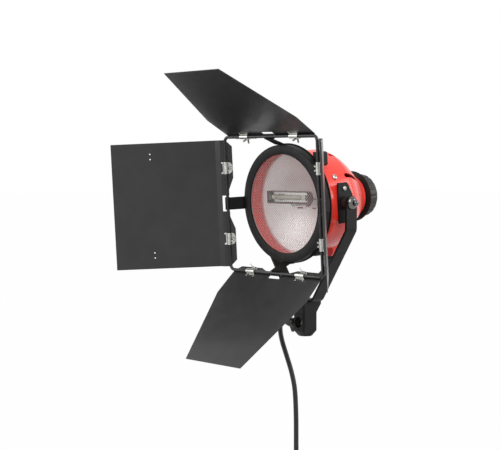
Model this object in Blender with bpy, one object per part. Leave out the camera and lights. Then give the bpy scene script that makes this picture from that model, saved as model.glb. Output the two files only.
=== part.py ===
# Open-face stage light with a rotating four-leaf barn door, yoke, stand socket and mains cord.
# World frame: origin at the mouth of the stand socket, +Z up, the lamp faces -Y. Metres.
# The head's own frame (the empty "optics") has its origin on the optical axis at the front of the
# barn-door ring: x to the side, y backwards along the axis, z up.
import math

import bmesh
import bpy
import numpy as np
from mathutils import Matrix, Vector

for item in list(bpy.data.objects):
    bpy.data.objects.remove(item, do_unlink=True)

MM = 0.001
CLEARANCE = 0.3 * MM
RUNNING_CLEARANCE = 0.3 * MM

# Whole light
PIVOT_HEIGHT = 213 * MM
REST_TILT = math.radians(3.5)
RING_SETBACK = 48.5 * MM

# Stand socket
SOCKET_WIDTH = 25 * MM
SOCKET_DEPTH = 30.4 * MM
SOCKET_HEIGHT = 55 * MM
SOCKET_CORNER = 2.5 * MM
SOCKET_FOOT_RADIUS = 10.6 * MM
SOCKET_FOOT_HEIGHT = 8.4 * MM
SOCKET_FLANGE_OVERHANG = 5 * MM
SOCKET_FLANGE_THICKNESS = 4 * MM
SOCKET_NECK_HEIGHT = 37 * MM
SPIGOT_BORE = 16.6 * MM
SPIGOT_BORE_DEPTH = 40 * MM
CROSS_BORE = 17.4 * MM
CROSS_BORE_HEIGHT = 22 * MM
CLAMP_HEIGHT = 18.5 * MM

# Yoke
YOKE_THICKNESS = 4 * MM
YOKE_WIDTH = 22 * MM
YOKE_ARM_X = 101 * MM
YOKE_BEND_DROP = 42 * MM
YOKE_FOOT_HALF = 26 * MM
YOKE_BEND_RADIUS = 12 * MM
YOKE_BOLT = 8 * MM
BOLT_HEAD_ACROSS = 13 * MM
BOLT_HEAD_HEIGHT = 5.5 * MM

# Clamp screw
CLAMP_SCREW = 8 * MM
CLAMP_PAD_THICKNESS = 3 * MM
CLAMP_PAD_PROUD = 1.2 * MM
CLAMP_HUB = 15 * MM
CLAMP_HUB_LENGTH = 20 * MM
CLAMP_HUB_STANDOFF = 9 * MM
CLAMP_WING_REACH = 17 * MM
CLAMP_WING_WIDTH = 9 * MM
CLAMP_WING_THICKNESS = 5 * MM
CLAMP_WING_ANGLE = math.radians(56)

# Tilt pivots
PIVOT_BOLT = 8 * MM
PIVOT_PLATE_THICKNESS = 3 * MM
PIVOT_PLATE_INNER_X = 85 * MM
PIVOT_PLATE_TOP = 31 * MM
PIVOT_PLATE_FRONT = -13 * MM
PIVOT_PLATE_REAR = 17 * MM
PIVOT_PLATE_SHOULDER = 6.5 * MM
PIVOT_PLATE_SHOULDER_TOP = 13 * MM
PIVOT_SPACER = 20 * MM
PLATE_SCREW_UP = 22 * MM
PLATE_SCREW_SHANK = 4 * MM
PLATE_SCREW_HEAD = 7.6 * MM
CAP_WASHER = 20 * MM
CAP_STUD = 9 * MM
LOCK_WASHER = 22 * MM
LOCK_WASHER_THICKNESS = 1.6 * MM
LOCK_KNOB = 36 * MM
LOCK_KNOB_LENGTH = 17 * MM
LOCK_KNOB_LOBES = 6

# Housing, radii from the optical axis
HOUSING_FRONT_Y = 6.5 * MM
HOUSING_FRONT_RADIUS = 85.8 * MM
HOUSING_WAIST_Y = 60.4 * MM
HOUSING_WAIST_RADIUS = 80.8 * MM
HOUSING_SHOULDER_Y = 74 * MM
HOUSING_SHOULDER_RADIUS = 81 * MM
HOUSING_TAPER_POWER = 1.35
HOUSING_REAR_Y = 112 * MM
HOUSING_REAR_RADIUS = 60 * MM
HOUSING_WALL = 2.4 * MM
HOUSING_REAR_LIP = 7 * MM
HOUSING_STEPS = 36
REFLECTOR_LEDGE_Y = 29.3 * MM
REFLECTOR_LEDGE_DEPTH = 3.5 * MM
BOSS_HALF_HEIGHT = 28 * MM
VENT_WIDTH = 7.5 * MM
VENT_FRONT_Y = 68 * MM
VENT_REAR_Y = 110 * MM
VENT_ANGLES = (30, 63, 117, 150, -30, -150)
HOUSING_SCREW_Y = 43.2 * MM
HOUSING_SCREW_ANGLE = 28.4
HOUSING_SCREW_HEAD = 9 * MM
HOUSING_SCREW_SHANK = 4 * MM

# Rear cover, shield and focus knob
REAR_COVER_REAR_Y = 151 * MM
REAR_COVER_CORNER_Y = 144 * MM
REAR_COVER_CORNER_RADIUS = 36 * MM
REAR_COVER_WALL = 2 * MM
SPINDLE = 6 * MM
SPINDLE_TIP_Y = 76 * MM
SHIELD_RADIUS = 41 * MM
SHIELD_RIM_Y = 156 * MM
SHIELD_THICKNESS = 1.6 * MM
KNOB_RADIUS = 35 * MM
KNOB_FRONT_Y = 158 * MM
KNOB_REAR_Y = 181 * MM
KNOB_FLUTES = 18
KNOB_FLUTE_DEPTH = 1.3 * MM

# Reflector and guard
REFLECTOR_RIM_RADIUS = 82 * MM
REFLECTOR_DEPTH = 26 * MM
REFLECTOR_SHEET = 1 * MM
REFLECTOR_HOLE = 18 * MM
REFLECTOR_STEPS = 32
REFLECTOR_SLIT_X = 16 * MM
REFLECTOR_SLIT_LENGTH = 11 * MM
REFLECTOR_SLIT_HEIGHT = 2.2 * MM
REFLECTOR_SLIT_HEIGHTS = (-10.9 * MM, 3.9 * MM)
GUARD_RIM_OUTER = 84.4 * MM
GUARD_RIM_INNER = 79.4 * MM
GUARD_RIM_FRONT_Y = 2.7 * MM
GUARD_PITCH = 15 * MM
GUARD_WIRE = 1.3 * MM

# Lamp carriage
TRAY_LENGTH = 96 * MM
TRAY_HEIGHT = 19.6 * MM
TRAY_LIFT = 9.1 * MM
TRAY_FRONT_Y = 10.4 * MM
TRAY_DEPTH = 10 * MM
TRAY_SHEET = 1.1 * MM
LAMP_LENGTH = 78 * MM
LAMP_TUBE = 11 * MM
LAMP_CAP = 7 * MM
LAMP_CAP_LENGTH = 8 * MM
CARRIAGE_WIDTH = 44 * MM
CARRIAGE_LOW = -0.5 * MM
CARRIAGE_HIGH = 15 * MM
CARRIAGE_SHEET = 2 * MM
STEM = 12 * MM
STEM_BORE_ROOM = 21 * MM
STEM_REAR_Y = 100 * MM
BRIDGE_Y = 84 * MM
BRIDGE_WIDTH = 16 * MM
BRIDGE_THICKNESS = 2.5 * MM

# Terminal box and cable gland
TERMINAL_WIDTH = 34 * MM
TERMINAL_FRONT_Y = 88 * MM
TERMINAL_REAR_Y = 110 * MM
TERMINAL_BOTTOM = 91 * MM
TERMINAL_CORNER = 5 * MM
GLAND_BASE = 16 * MM
GLAND_TIP = 10 * MM

# Barn-door ring and accessory holders
RING_RADIUS = 92.2 * MM
RING_OPENING = 77.3 * MM
RING_SHEET = 1.5 * MM
RING_LIP = 2.4 * MM
RING_DEPTH = 14.5 * MM
RING_FLANGE_RADIUS = 94 * MM
RING_STEPS = 20
# Side, up or down, and inner face; the upper right one stands further out
HOLDER_PLACES = ((1, 1, 61 * MM), (-1, 1, 47 * MM), (-1, -1, 47 * MM), (1, -1, 47 * MM))
HOLDER_WIDTH = 12 * MM
HOLDER_LOW = 58.5 * MM
HOLDER_HIGH = 80 * MM
HOLDER_REAR_Y = 30 * MM
HOLDER_CORNER = 2.5 * MM

# Rod frame and straps
ROD = 5 * MM
ROD_HALF = 106.2 * MM
ROD_Y = -22.4 * MM
ROD_CORNER_RADIUS = 8 * MM
STRAP_WIDTH = 20 * MM
STRAP_SHEET = 1.5 * MM
STRAP_TAB_END_Y = 10.4 * MM

# Leaves
LEAF_SHEET = 1 * MM
LEAF_JOGGLE = 5 * MM
LEAF_CREASE_NEAR = 9 * MM
LEAF_CREASE_FAR = 17 * MM
LEAF_LOBE = 10.5 * MM
LEAF_LOBE_END = 41 * MM
LEAF_NOTCH_SHOULDER = 21.5 * MM
LEAF_NOTCH_EDGE = 2.8 * MM
LEAF_NOTCH_HALF = 12.6 * MM
LEAF_NOTCH_DEPTH = 8.4 * MM
SIDE_LEAF_HALF = 101.8 * MM
SIDE_LEAF_LENGTH = 185.8 * MM
END_LEAF_ROOT_HALF = 100.2 * MM
END_LEAF_HALF = 102.5 * MM
END_LEAF_KNEE = 46.3 * MM
END_LEAF_TIP_HALF = 63.4 * MM
END_LEAF_LENGTH = 179.3 * MM
EYELET = 2.6 * MM
EYELET_OUT = 122.8 * MM
EYELET_PLACES = (75.7 * MM, 84.0 * MM)
# Opening of each leaf from the optical axis, outwards
LEAF_OPENING = {"top": 33.6, "right": 45.0, "bottom": 40.6, "left": 44.5}

# Clips
CLIP_PLACE = 57 * MM
CLIP_WIDTH = 19 * MM
CLIP_SHEET = 1 * MM
CLIP_LOBE = 10.3 * MM
CLIP_HEEL = 5.6 * MM
WING_SCREW = 3.2 * MM
WING_SCREW_OUT = 6.6 * MM
WING_SPAN = 11 * MM
WING_HEIGHT = 8 * MM

# Mains cord: 3 x 1.5 mm2 rubber cord of 8 mm
CORD = 8 * MM
CORD_STEP = 19 * MM
CORD_ROUTE_MM = (
    (-30, 56, 87),
    (-58, 54, 66),
    (-88, 51, 44),
    (-107, 48, 20),
    (-109, 45.5, -3),
    (-101.5, 43, -23),
    (-90, 42, -45),
    (-77.4, 42, -72.3),
    (-69.5, 42, -100),
    (-66.5, 42, -140),
    (-66, 42, -190),
    (-66, 42, -240),
)
COIL_CENTRE_Z = -282 * MM
COIL_OUTER = 62 * MM
COIL_PITCH = 8.7 * MM
COIL_LAYER_TURNS = 3.5
COIL_LAYER_GAP = 0.7 * MM
COIL_POINTS = 24
COIL_TAIL = 30 * MM
TIE_WIDTH = 16 * MM
TIE_SHEET = 1.4 * MM
PLUG_BODY = 36 * MM
PLUG_BODY_LENGTH = 34 * MM
PLUG_RELIEF_LENGTH = 26 * MM
PLUG_PIN = 4.8 * MM
PLUG_PIN_LENGTH = 19 * MM
PLUG_PIN_SPACING = 19 * MM


def finish(name, colour, roughness, metallic=0.0):
    """A plain Principled material, made once for each name."""
    found = bpy.data.materials.get(name)
    if found:
        return found
    made = bpy.data.materials.new(name)
    made.use_nodes = True
    shader = made.node_tree.nodes["Principled BSDF"]
    shader.inputs["Base Color"].default_value = (*colour, 1)
    shader.inputs["Roughness"].default_value = roughness
    shader.inputs["Metallic"].default_value = metallic
    made.diffuse_color = (*colour, 1)
    return made


BLACK_PAINT = finish("black_powder_coat", (0.035, 0.035, 0.033), 0.45)
RED_PAINT = finish("red_gloss_housing", (0.75, 0.035, 0.02), 0.22)
BLACK_PLASTIC = finish("black_plastic", (0.045, 0.04, 0.035), 0.5)
RUBBER = finish("black_rubber", (0.02, 0.02, 0.02), 0.55)
ZINC = finish("zinc_plate", (0.6, 0.6, 0.58), 0.3, 1.0)
CHROME = finish("chrome", (0.8, 0.8, 0.8), 0.08, 1.0)
ALUMINIUM = finish("pebbled_aluminium", (0.78, 0.76, 0.75), 0.35, 1.0)
STEEL_WIRE = finish("guard_wire", (0.55, 0.53, 0.52), 0.35, 1.0)
QUARTZ = finish("quartz_lamp", (0.85, 0.82, 0.75), 0.25)
CERAMIC = finish("dark_ceramic", (0.12, 0.11, 0.1), 0.7)
GALVANISED = finish("inner_bracket", (0.45, 0.45, 0.45), 0.4, 1.0)


def empty(name, parent=None, location=(0, 0, 0), rotation=(0, 0, 0)):
    made = bpy.data.objects.new(name, None)
    bpy.context.collection.objects.link(made)
    made.parent = parent
    made.location = location
    made.rotation_euler = rotation
    return made


def add(name, bm, material, parent=None, location=(0, 0, 0), rotation=(0, 0, 0)):
    """Turns a bmesh into a named object with its normals facing out."""
    bmesh.ops.recalc_face_normals(bm, faces=bm.faces)
    mesh = bpy.data.meshes.new(name)
    bm.to_mesh(mesh)
    bm.free()
    mesh.shade_smooth()
    mesh.set_sharp_from_angle(angle=math.radians(35))
    return place(name, mesh, material, parent, location, rotation)


def place(name, mesh, material, parent=None, location=(0, 0, 0), rotation=(0, 0, 0)):
    made = bpy.data.objects.new(name, mesh)
    bpy.context.collection.objects.link(made)
    made.parent = parent
    made.location = location
    made.rotation_euler = rotation
    if not mesh.materials:
        mesh.materials.append(material)
    return made


def helper(made):
    """Keeps a Boolean's operand out of the part."""
    made.hide_render = True
    made.display_type = "WIRE"
    return made


def boolean(target, operation, operand):
    modifier = target.modifiers.new(f"{operation.lower()}_{operand.name}", "BOOLEAN")
    modifier.operation = operation
    modifier.solver = "EXACT"
    modifier.object = helper(operand)


def skin(bm, rings, closed=False):
    """Joins rings of equal length side by side, with flat caps at the ends unless closed."""
    count = len(rings[0])
    pairs = list(zip(rings, rings[1:] + rings[:1])) if closed else list(zip(rings, rings[1:]))
    for first, second in pairs:
        for i in range(count):
            j = (i + 1) % count
            corners = [first[i], first[j], second[j], second[i]]
            unique = list(dict.fromkeys(corners))
            if len(unique) > 2:
                bm.faces.new(unique)
    if not closed:
        bm.faces.new(rings[0])
        bm.faces.new(rings[-1])


def turned(outline, steps, start=0.0, sweep=360.0, bm=None):
    """Turns a closed outline of (radius, y) points about the Y axis. A radius of 0 makes a pole."""
    bm = bm or bmesh.new()
    whole = abs(sweep - 360) < 1e-6
    poles = {y: bm.verts.new((0, y, 0)) for radius, y in outline if radius == 0}
    rings = []
    for i in range(steps if whole else steps + 1):
        angle = math.radians(start + sweep * i / steps)
        ring = []
        for radius, y in outline:
            spot = (radius * math.cos(angle), y, radius * math.sin(angle))
            ring.append(poles[y] if radius == 0 else bm.verts.new(spot))
        rings.append(ring)
    skin(bm, rings, closed=whole)
    return bm


def prism(outline, low, high, bm=None):
    """Extrudes a closed outline of (x, z) points along Y."""
    bm = bm or bmesh.new()
    rings = [[bm.verts.new((x, y, z)) for x, z in outline] for y in (low, high)]
    skin(bm, rings)
    return bm


def loft(sections, bm=None):
    """Joins sections, each a list of 3D points."""
    bm = bm or bmesh.new()
    skin(bm, [[bm.verts.new(point) for point in section] for section in sections])
    return bm


def moved(bm, matrix):
    bmesh.ops.transform(bm, matrix=matrix, verts=bm.verts)
    return bm


def merged(parts):
    """Several bmeshes as one, for operands whose shapes stand apart."""
    whole = bmesh.new()
    for part in parts:
        part_mesh = bpy.data.meshes.new("passing")
        bmesh.ops.recalc_face_normals(part, faces=part.faces)
        part.to_mesh(part_mesh)
        part.free()
        whole.from_mesh(part_mesh)
        bpy.data.meshes.remove(part_mesh)
    return whole


def cylinder(radius, low, high, steps=16):
    """A cylinder about the Y axis."""
    return turned([(0, low), (radius, low), (radius, high), (0, high)], steps)


def box(x, y, z):
    """A box from its (low, high) pairs."""
    outline = [(x[0], z[0]), (x[1], z[0]), (x[1], z[1]), (x[0], z[1])]
    return prism(outline, y[0], y[1])


def rounded_path(corners, radius, steps=4):
    """A 2D line through corners with each inner corner rounded."""
    path = [Vector(corners[0])]
    for before, corner, after in zip(corners, corners[1:], corners[2:]):
        corner = Vector(corner)
        back = (Vector(before) - corner).normalized()
        ahead = (Vector(after) - corner).normalized()
        half = back.angle(ahead) / 2
        trim = radius / math.tan(half)
        centre = corner + (back + ahead).normalized() * radius / math.sin(half)
        first = corner + back * trim - centre
        turn = first.angle_signed(corner + ahead * trim - centre)
        for i in range(steps + 1):
            path.append(centre + Matrix.Rotation(-turn * i / steps, 2) @ first)
    path.append(Vector(corners[-1]))
    return path


def arc(centre, radius, first, last, steps):
    """2D points on an arc, angles in degrees."""
    angles = [math.radians(first + (last - first) * i / steps) for i in range(steps + 1)]
    return [Vector((centre[0] + radius * math.cos(a), centre[1] + radius * math.sin(a))) for a in angles]


def bent_bar(path, thickness, half_widths):
    """A flat bar bent along a 2D path: path in (x, z), width along Y."""
    sections = []
    for i, point in enumerate(path):
        back = (point - path[max(i - 1, 0)]).normalized()
        ahead = (path[min(i + 1, len(path) - 1)] - point).normalized()
        along = (back + ahead).normalized()
        across = Vector((-along[1], along[0]))
        stretch = 1 / max(across.dot(Vector((-ahead[1], ahead[0]))), 0.5) if ahead.length else 1
        offset = across * thickness / 2 * (stretch if 0 < i < len(path) - 1 else 1)
        half = half_widths[i] if isinstance(half_widths, list) else half_widths
        inner, outer = point - offset, point + offset
        sections.append(
            [
                (inner[0], -half, inner[1]),
                (outer[0], -half, outer[1]),
                (outer[0], half, outer[1]),
                (inner[0], half, inner[1]),
            ]
        )
    return loft(sections)


def round_sweep(points, radii, sides=10):
    """A round bar of changing radius along 3D points."""
    points = [Vector(p) for p in points]
    sections = []
    across = Vector((0, 1, 0))
    for i, point in enumerate(points):
        along = (points[min(i + 1, len(points) - 1)] - points[max(i - 1, 0)]).normalized()
        across = (across - along * across.dot(along)).normalized()
        side = along.cross(across)
        angles = [2 * math.pi * k / sides for k in range(sides)]
        sections.append([point + (across * math.cos(a) + side * math.sin(a)) * radii[i] for a in angles])
    return loft(sections)


def smooth_route(before, points, step):
    """Points at even steps on a Catmull-Rom curve through the given points, coming from before."""
    points = [np.array(p) for p in points]
    padded = [np.array(before), *points, 2 * points[-1] - points[-2]]
    fine = []
    for a, b, c, d in zip(padded, padded[1:], padded[2:], padded[3:]):
        for t in np.linspace(0, 1, 40, endpoint=False):
            fine.append(0.5 * (2 * b + (c - a) * t + (2 * a - 5 * b + 4 * c - d) * t**2 + (3 * b - a - 3 * c + d) * t**3))
    fine = np.array([*fine, points[-1]])
    lengths = np.concatenate([[0], np.cumsum(np.linalg.norm(np.diff(fine, axis=0), axis=1))])
    wanted = np.linspace(0, lengths[-1], int(lengths[-1] / step) + 2)
    return np.stack([np.interp(wanted, lengths, fine[:, k]) for k in range(3)], axis=1)


def tube(name, points, diameter, bevel_resolution, material, parent=None, cyclic=False):
    """A curve object along points, with filled ends unless cyclic."""
    curve = bpy.data.curves.new(name, "CURVE")
    curve.dimensions = "3D"
    curve.bevel_depth = diameter / 2
    curve.bevel_resolution = bevel_resolution
    curve.use_fill_caps = not cyclic
    spline = curve.splines.new("POLY")
    spline.points.add(len(points) - 1)
    for target, point in zip(spline.points, points):
        target.co = (*point, 1)
    spline.use_cyclic_u = cyclic
    spline.use_smooth = True
    curve.materials.append(material)
    made = bpy.data.objects.new(name, curve)
    bpy.context.collection.objects.link(made)
    made.parent = parent
    return made


HEAD = empty("head_tilt_axis", location=(0, 0, PIVOT_HEIGHT), rotation=(REST_TILT, 0, 0))
OPTICS = empty("optics", HEAD, (0, -RING_SETBACK, 0))
YOKE_TOP_OF_FOOT = SOCKET_HEIGHT + CLEARANCE + YOKE_THICKNESS
ARM_OUTER_X = YOKE_ARM_X + YOKE_THICKNESS / 2
ARM_INNER_X = YOKE_ARM_X - YOKE_THICKNESS / 2
PLATE_OUTER_X = PIVOT_PLATE_INNER_X + PIVOT_PLATE_THICKNESS
SIDEWAYS = Matrix.Rotation(-math.pi / 2, 4, "Z")


def block_section(z, half_x, half_y, corner):
    corners = [
        (half_x, 0),
        (half_x, half_y - corner),
        (half_x - corner, half_y),
        (0, half_y),
        (corner - half_x, half_y),
        (-half_x, half_y - corner),
    ]
    return [(x, y, z) for x, y in corners] + [(-x, -y, z) for x, y in corners]


def foot_section(z, radius):
    angles = [0, 38, 52, 90, 128, 142]
    spots = [(radius * math.cos(math.radians(a)), radius * math.sin(math.radians(a))) for a in angles]
    return [(x, y, z) for x, y in spots] + [(-x, -y, z) for x, y in spots]


def make_stand_socket():
    half_x = SOCKET_WIDTH / 2
    half_y = SOCKET_DEPTH / 2
    wide_x = half_x + SOCKET_FLANGE_OVERHANG
    wide_y = half_y + SOCKET_FLANGE_OVERHANG
    sections = [
        foot_section(0, SOCKET_FOOT_RADIUS),
        block_section(SOCKET_FOOT_HEIGHT, half_x, half_y, SOCKET_CORNER),
        block_section(SOCKET_NECK_HEIGHT, half_x, half_y, SOCKET_CORNER),
        block_section(SOCKET_HEIGHT - SOCKET_FLANGE_THICKNESS, wide_x, wide_y, SOCKET_CORNER),
        block_section(SOCKET_HEIGHT, wide_x, wide_y, SOCKET_CORNER),
    ]
    socket = add("stand_socket", loft(sections), BLACK_PAINT)
    upright = Matrix.Rotation(math.pi / 2, 4, "X")
    bore = SPIGOT_BORE / 2
    bolt_hole = YOKE_BOLT / 2 + CLEARANCE
    screw_hole = CLAMP_SCREW / 2 + RUNNING_CLEARANCE
    spigot = moved(cylinder(bore, -5 * MM, SPIGOT_BORE_DEPTH, 20), upright)
    cross = cylinder(CROSS_BORE / 2, -SOCKET_DEPTH, SOCKET_DEPTH, 20)
    cross = moved(cross, Matrix.Translation((0, 0, CROSS_BORE_HEIGHT)))
    clamp = moved(cylinder(screw_hole, -SOCKET_WIDTH, 0), Matrix.Translation((0, 0, CLAMP_HEIGHT)) @ SIDEWAYS)
    bolt = moved(cylinder(bolt_hole, SPIGOT_BORE_DEPTH + 3 * MM, SOCKET_HEIGHT + 5 * MM), upright)
    for name, cutter in (("spigot_bore", spigot), ("cross_bore", cross), ("clamp_hole", clamp), ("bolt_hole", bolt)):
        boolean(socket, "DIFFERENCE", add(name, cutter, BLACK_PAINT))


def make_yoke():
    foot_z = YOKE_TOP_OF_FOOT - YOKE_THICKNESS / 2
    corners = [
        (0, foot_z),
        (YOKE_FOOT_HALF, foot_z),
        (YOKE_ARM_X, PIVOT_HEIGHT - YOKE_BEND_DROP),
        (YOKE_ARM_X, PIVOT_HEIGHT),
    ]
    half = YOKE_WIDTH / 2
    path = rounded_path(corners, YOKE_BEND_RADIUS)
    widths = [half] * len(path)
    for angle in (20, 38, 54, 68, 80):
        path.append(Vector((YOKE_ARM_X, PIVOT_HEIGHT + half * math.sin(math.radians(angle)))))
        widths.append(half * math.cos(math.radians(angle)))
    mirrored = [Vector((-p[0], p[1])) for p in reversed(path[1:])]
    yoke = add("yoke", bent_bar(mirrored + path, YOKE_THICKNESS, widths[:0:-1] + widths), BLACK_PAINT)
    hole = PIVOT_BOLT / 2 + CLEARANCE
    pivots = cylinder(hole, -ARM_OUTER_X - 5 * MM, ARM_OUTER_X + 5 * MM)
    pivots = moved(pivots, Matrix.Translation((0, 0, PIVOT_HEIGHT)) @ SIDEWAYS)
    boolean(yoke, "DIFFERENCE", add("yoke_pivot_holes", pivots, BLACK_PAINT))
    upright = Matrix.Rotation(math.pi / 2, 4, "X")
    bolt = moved(cylinder(YOKE_BOLT / 2 + CLEARANCE, SOCKET_HEIGHT - 5 * MM, SOCKET_HEIGHT + 15 * MM), upright)
    boolean(yoke, "DIFFERENCE", add("yoke_bolt_hole", bolt, BLACK_PAINT))


def make_yoke_bolt():
    seat = YOKE_TOP_OF_FOOT + CLEARANCE
    head_radius = BOLT_HEAD_ACROSS / 2 / math.cos(math.radians(30))
    shank = YOKE_BOLT / 2
    low = SPIGOT_BORE_DEPTH + 4 * MM
    angles = [math.radians(30 * k) for k in range(12)]

    def section(z, radius, sharp):
        # A hexagon where sharp is 1, a circle where it is 0
        spots = []
        for k, angle in enumerate(angles):
            flat = 1 - sharp * (1 - math.cos(math.radians(30))) if k % 2 else 1
            spots.append((radius * flat * math.cos(angle), radius * flat * math.sin(angle), z))
        return spots

    sections = [
        section(low, shank, 0),
        section(seat, shank, 0),
        section(seat, head_radius, 1),
        section(seat + BOLT_HEAD_HEIGHT * 0.8, head_radius, 1),
        section(seat + BOLT_HEAD_HEIGHT, head_radius * 0.84, 0),
    ]
    add("yoke_bolt", loft(sections), ZINC)


def make_clamp():
    axis = Matrix.Translation((0, 0, CLAMP_HEIGHT)) @ SIDEWAYS
    bore = SPIGOT_BORE / 2
    pad_face = -(bore - CLAMP_PAD_PROUD)
    pad_back = pad_face - CLAMP_PAD_THICKNESS
    pad = cylinder(CLAMP_SCREW / 2, pad_back, pad_face)
    anchor = empty("clamp_axis")
    add("clamp_pad", moved(pad, axis), ZINC, anchor)
    tip = pad_back - CLEARANCE
    hub_inner = -SOCKET_WIDTH / 2 - CLAMP_HUB_STANDOFF
    hub_outer = hub_inner - CLAMP_HUB_LENGTH
    screw = CLAMP_SCREW / 2
    hub = CLAMP_HUB / 2
    outline = [
        (0, tip),
        (screw, tip),
        (screw, hub_inner),
        (hub * 0.7, hub_inner),
        (hub, hub_inner - 3 * MM),
        (hub, hub_outer + 6 * MM),
        (hub * 0.8, hub_outer),
        (0, hub_outer),
    ]
    knob = add("clamp_knob", moved(turned(outline, 20), axis), BLACK_PLASTIC, anchor)
    reach = CLAMP_WING_REACH
    half = CLAMP_WING_WIDTH / 2
    wing = [
        (-reach, -half),
        (-reach * 0.5, -half * 0.7),
        (reach * 0.5, -half * 0.7),
        (reach, -half),
        (reach, half),
        (reach * 0.5, half * 0.7),
        (-reach * 0.5, half * 0.7),
        (-reach, half),
    ]
    wings = prism(wing, -CLAMP_WING_THICKNESS / 2, CLAMP_WING_THICKNESS / 2)
    spin = Matrix.Rotation(-CLAMP_WING_ANGLE, 4, "X")
    stand = Matrix.Rotation(math.pi / 2, 4, "Z")
    middle = Matrix.Translation((hub_outer + half + 1 * MM, 0, CLAMP_HEIGHT))
    flat_on = Matrix.Rotation(math.pi / 2, 4, "Y")
    wings = moved(wings, middle @ spin @ stand @ Matrix.Rotation(0, 4, "X") @ flat_on @ flat_on.inverted())
    boolean(knob, "UNION", add("clamp_wings", wings, BLACK_PLASTIC, anchor))


def side_matrix(sign):
    """Turns a shape made along +Y so that it points along +X or -X, through the tilt axis."""
    return Matrix.Rotation(-sign * math.pi / 2, 4, "Z")


def make_pivots():
    shank = PIVOT_BOLT / 2
    bore = shank + CLEARANCE
    inner = PIVOT_PLATE_INNER_X - 4 * MM
    face = ARM_OUTER_X + CLEARANCE
    dome = CAP_WASHER / 2
    stud = CAP_STUD / 2
    cap = [
        (0, inner),
        (shank, inner),
        (shank, face),
        (dome, face),
        (dome, face + 1.2 * MM),
        (dome * 0.86, face + 3.2 * MM),
        (stud + 1.2 * MM, face + 5 * MM),
        (stud, face + 5.4 * MM),
        (stud, face + 9.6 * MM),
        (stud * 0.6, face + 11.4 * MM),
        (0, face + 12 * MM),
    ]
    pivot = empty("yoke_pivots", location=(0, 0, PIVOT_HEIGHT))
    add("pivot_bolt_right", moved(turned(cap, 20), side_matrix(1)), CHROME, pivot)
    lock_face = face + LOCK_WASHER_THICKNESS + CLEARANCE
    end = lock_face + LOCK_KNOB_LENGTH - 3 * MM
    add("pivot_stud_left", moved(cylinder(shank, inner, end), side_matrix(-1)), ZINC, pivot)
    for side, sign in (("right", 1), ("left", -1)):
        low = PLATE_OUTER_X + CLEARANCE
        high = ARM_INNER_X - CLEARANCE
        sleeve = [(bore, low), (PIVOT_SPACER / 2, low), (PIVOT_SPACER / 2, high), (bore, high)]
        add(f"pivot_spacer_{side}", moved(turned(sleeve, 16), side_matrix(sign)), BLACK_PLASTIC, HEAD)
        make_pivot_plate(side, sign, bore)
    wide = LOCK_WASHER / 2
    back = face + LOCK_WASHER_THICKNESS
    washer = [(bore, face), (wide, face), (wide, back), (bore, back)]
    add("lock_washer", moved(turned(washer, 16), side_matrix(-1)), ZINC, pivot)
    make_lock_knob(pivot, lock_face, bore)


def plate_outline():
    top = PIVOT_PLATE_TOP
    upper = [
        (PIVOT_PLATE_REAR, PIVOT_PLATE_SHOULDER_TOP),
        (PIVOT_PLATE_SHOULDER, top),
        (PIVOT_PLATE_FRONT, top),
    ]
    return upper + [(y, -z) for y, z in reversed(upper)]


def make_pivot_plate(side, sign, bore):
    """Flat plate on the housing's boss. Its outline is drawn in (y, z) and extruded along X."""
    flat = prism(plate_outline(), PIVOT_PLATE_INNER_X, PLATE_OUTER_X)
    turn = Matrix(((0, sign, 0, 0), (1, 0, 0, 0), (0, 0, 1, 0), (0, 0, 0, 1)))
    plate = add(f"pivot_plate_{side}", moved(flat, turn), BLACK_PAINT, HEAD)
    hole = moved(cylinder(bore, PIVOT_PLATE_INNER_X - 5 * MM, ARM_INNER_X), side_matrix(sign))
    boolean(plate, "DIFFERENCE", add(f"plate_bore_{side}", hole, BLACK_PAINT, HEAD))
    place_at = Matrix.Translation((0, 0, PLATE_SCREW_UP)) @ side_matrix(sign)
    screw_hole = cylinder(PLATE_SCREW_SHANK / 2 + CLEARANCE, PIVOT_PLATE_INNER_X - 3 * MM, ARM_INNER_X, 12)
    boolean(plate, "DIFFERENCE", add(f"plate_screw_hole_{side}", moved(screw_hole, place_at), BLACK_PAINT, HEAD))
    screw = round_head_screw(PLATE_OUTER_X + CLEARANCE, PLATE_SCREW_SHANK, PLATE_SCREW_HEAD, 6.5 * MM)
    add(f"plate_screw_{side}", moved(screw, place_at), ZINC, HEAD)


def round_head_screw(seat, shank, head, length):
    """A round-headed screw along +Y, its head's underside at y = seat."""
    outline = [
        (0, seat - length),
        (shank / 2, seat - length),
        (shank / 2, seat),
        (head / 2, seat),
        (head / 2 * 0.9, seat + head * 0.17),
        (head / 2 * 0.55, seat + head * 0.3),
        (0, seat + head * 0.34),
    ]
    return turned(outline, 12)


def make_lock_knob(pivot, face, bore):
    """Six-lobed knob with a through bore for the stud."""
    outer = LOCK_KNOB / 2
    points = LOCK_KNOB_LOBES * 6

    def section(y, radius, depth):
        spots = []
        for k in range(points):
            angle = 2 * math.pi * k / points
            reach = radius - depth * (0.5 - 0.5 * math.cos(LOCK_KNOB_LOBES * angle))
            spots.append((reach * math.cos(angle), y, reach * math.sin(angle)))
        return spots

    end = face + LOCK_KNOB_LENGTH
    sections = [
        section(face, outer * 0.5, 0),
        section(face + 4 * MM, outer * 0.55, 0),
        section(face + 6 * MM, outer * 0.97, 4 * MM),
        section(end - 3 * MM, outer, 4 * MM),
        section(end, outer * 0.86, 3.4 * MM),
    ]
    knob = add("tilt_lock_knob", moved(loft(sections), side_matrix(-1)), BLACK_PLASTIC, pivot)
    hole = moved(cylinder(bore, face - 5 * MM, end + 5 * MM), side_matrix(-1))
    boolean(knob, "DIFFERENCE", add("lock_knob_bore", hole, BLACK_PLASTIC, pivot))


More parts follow.
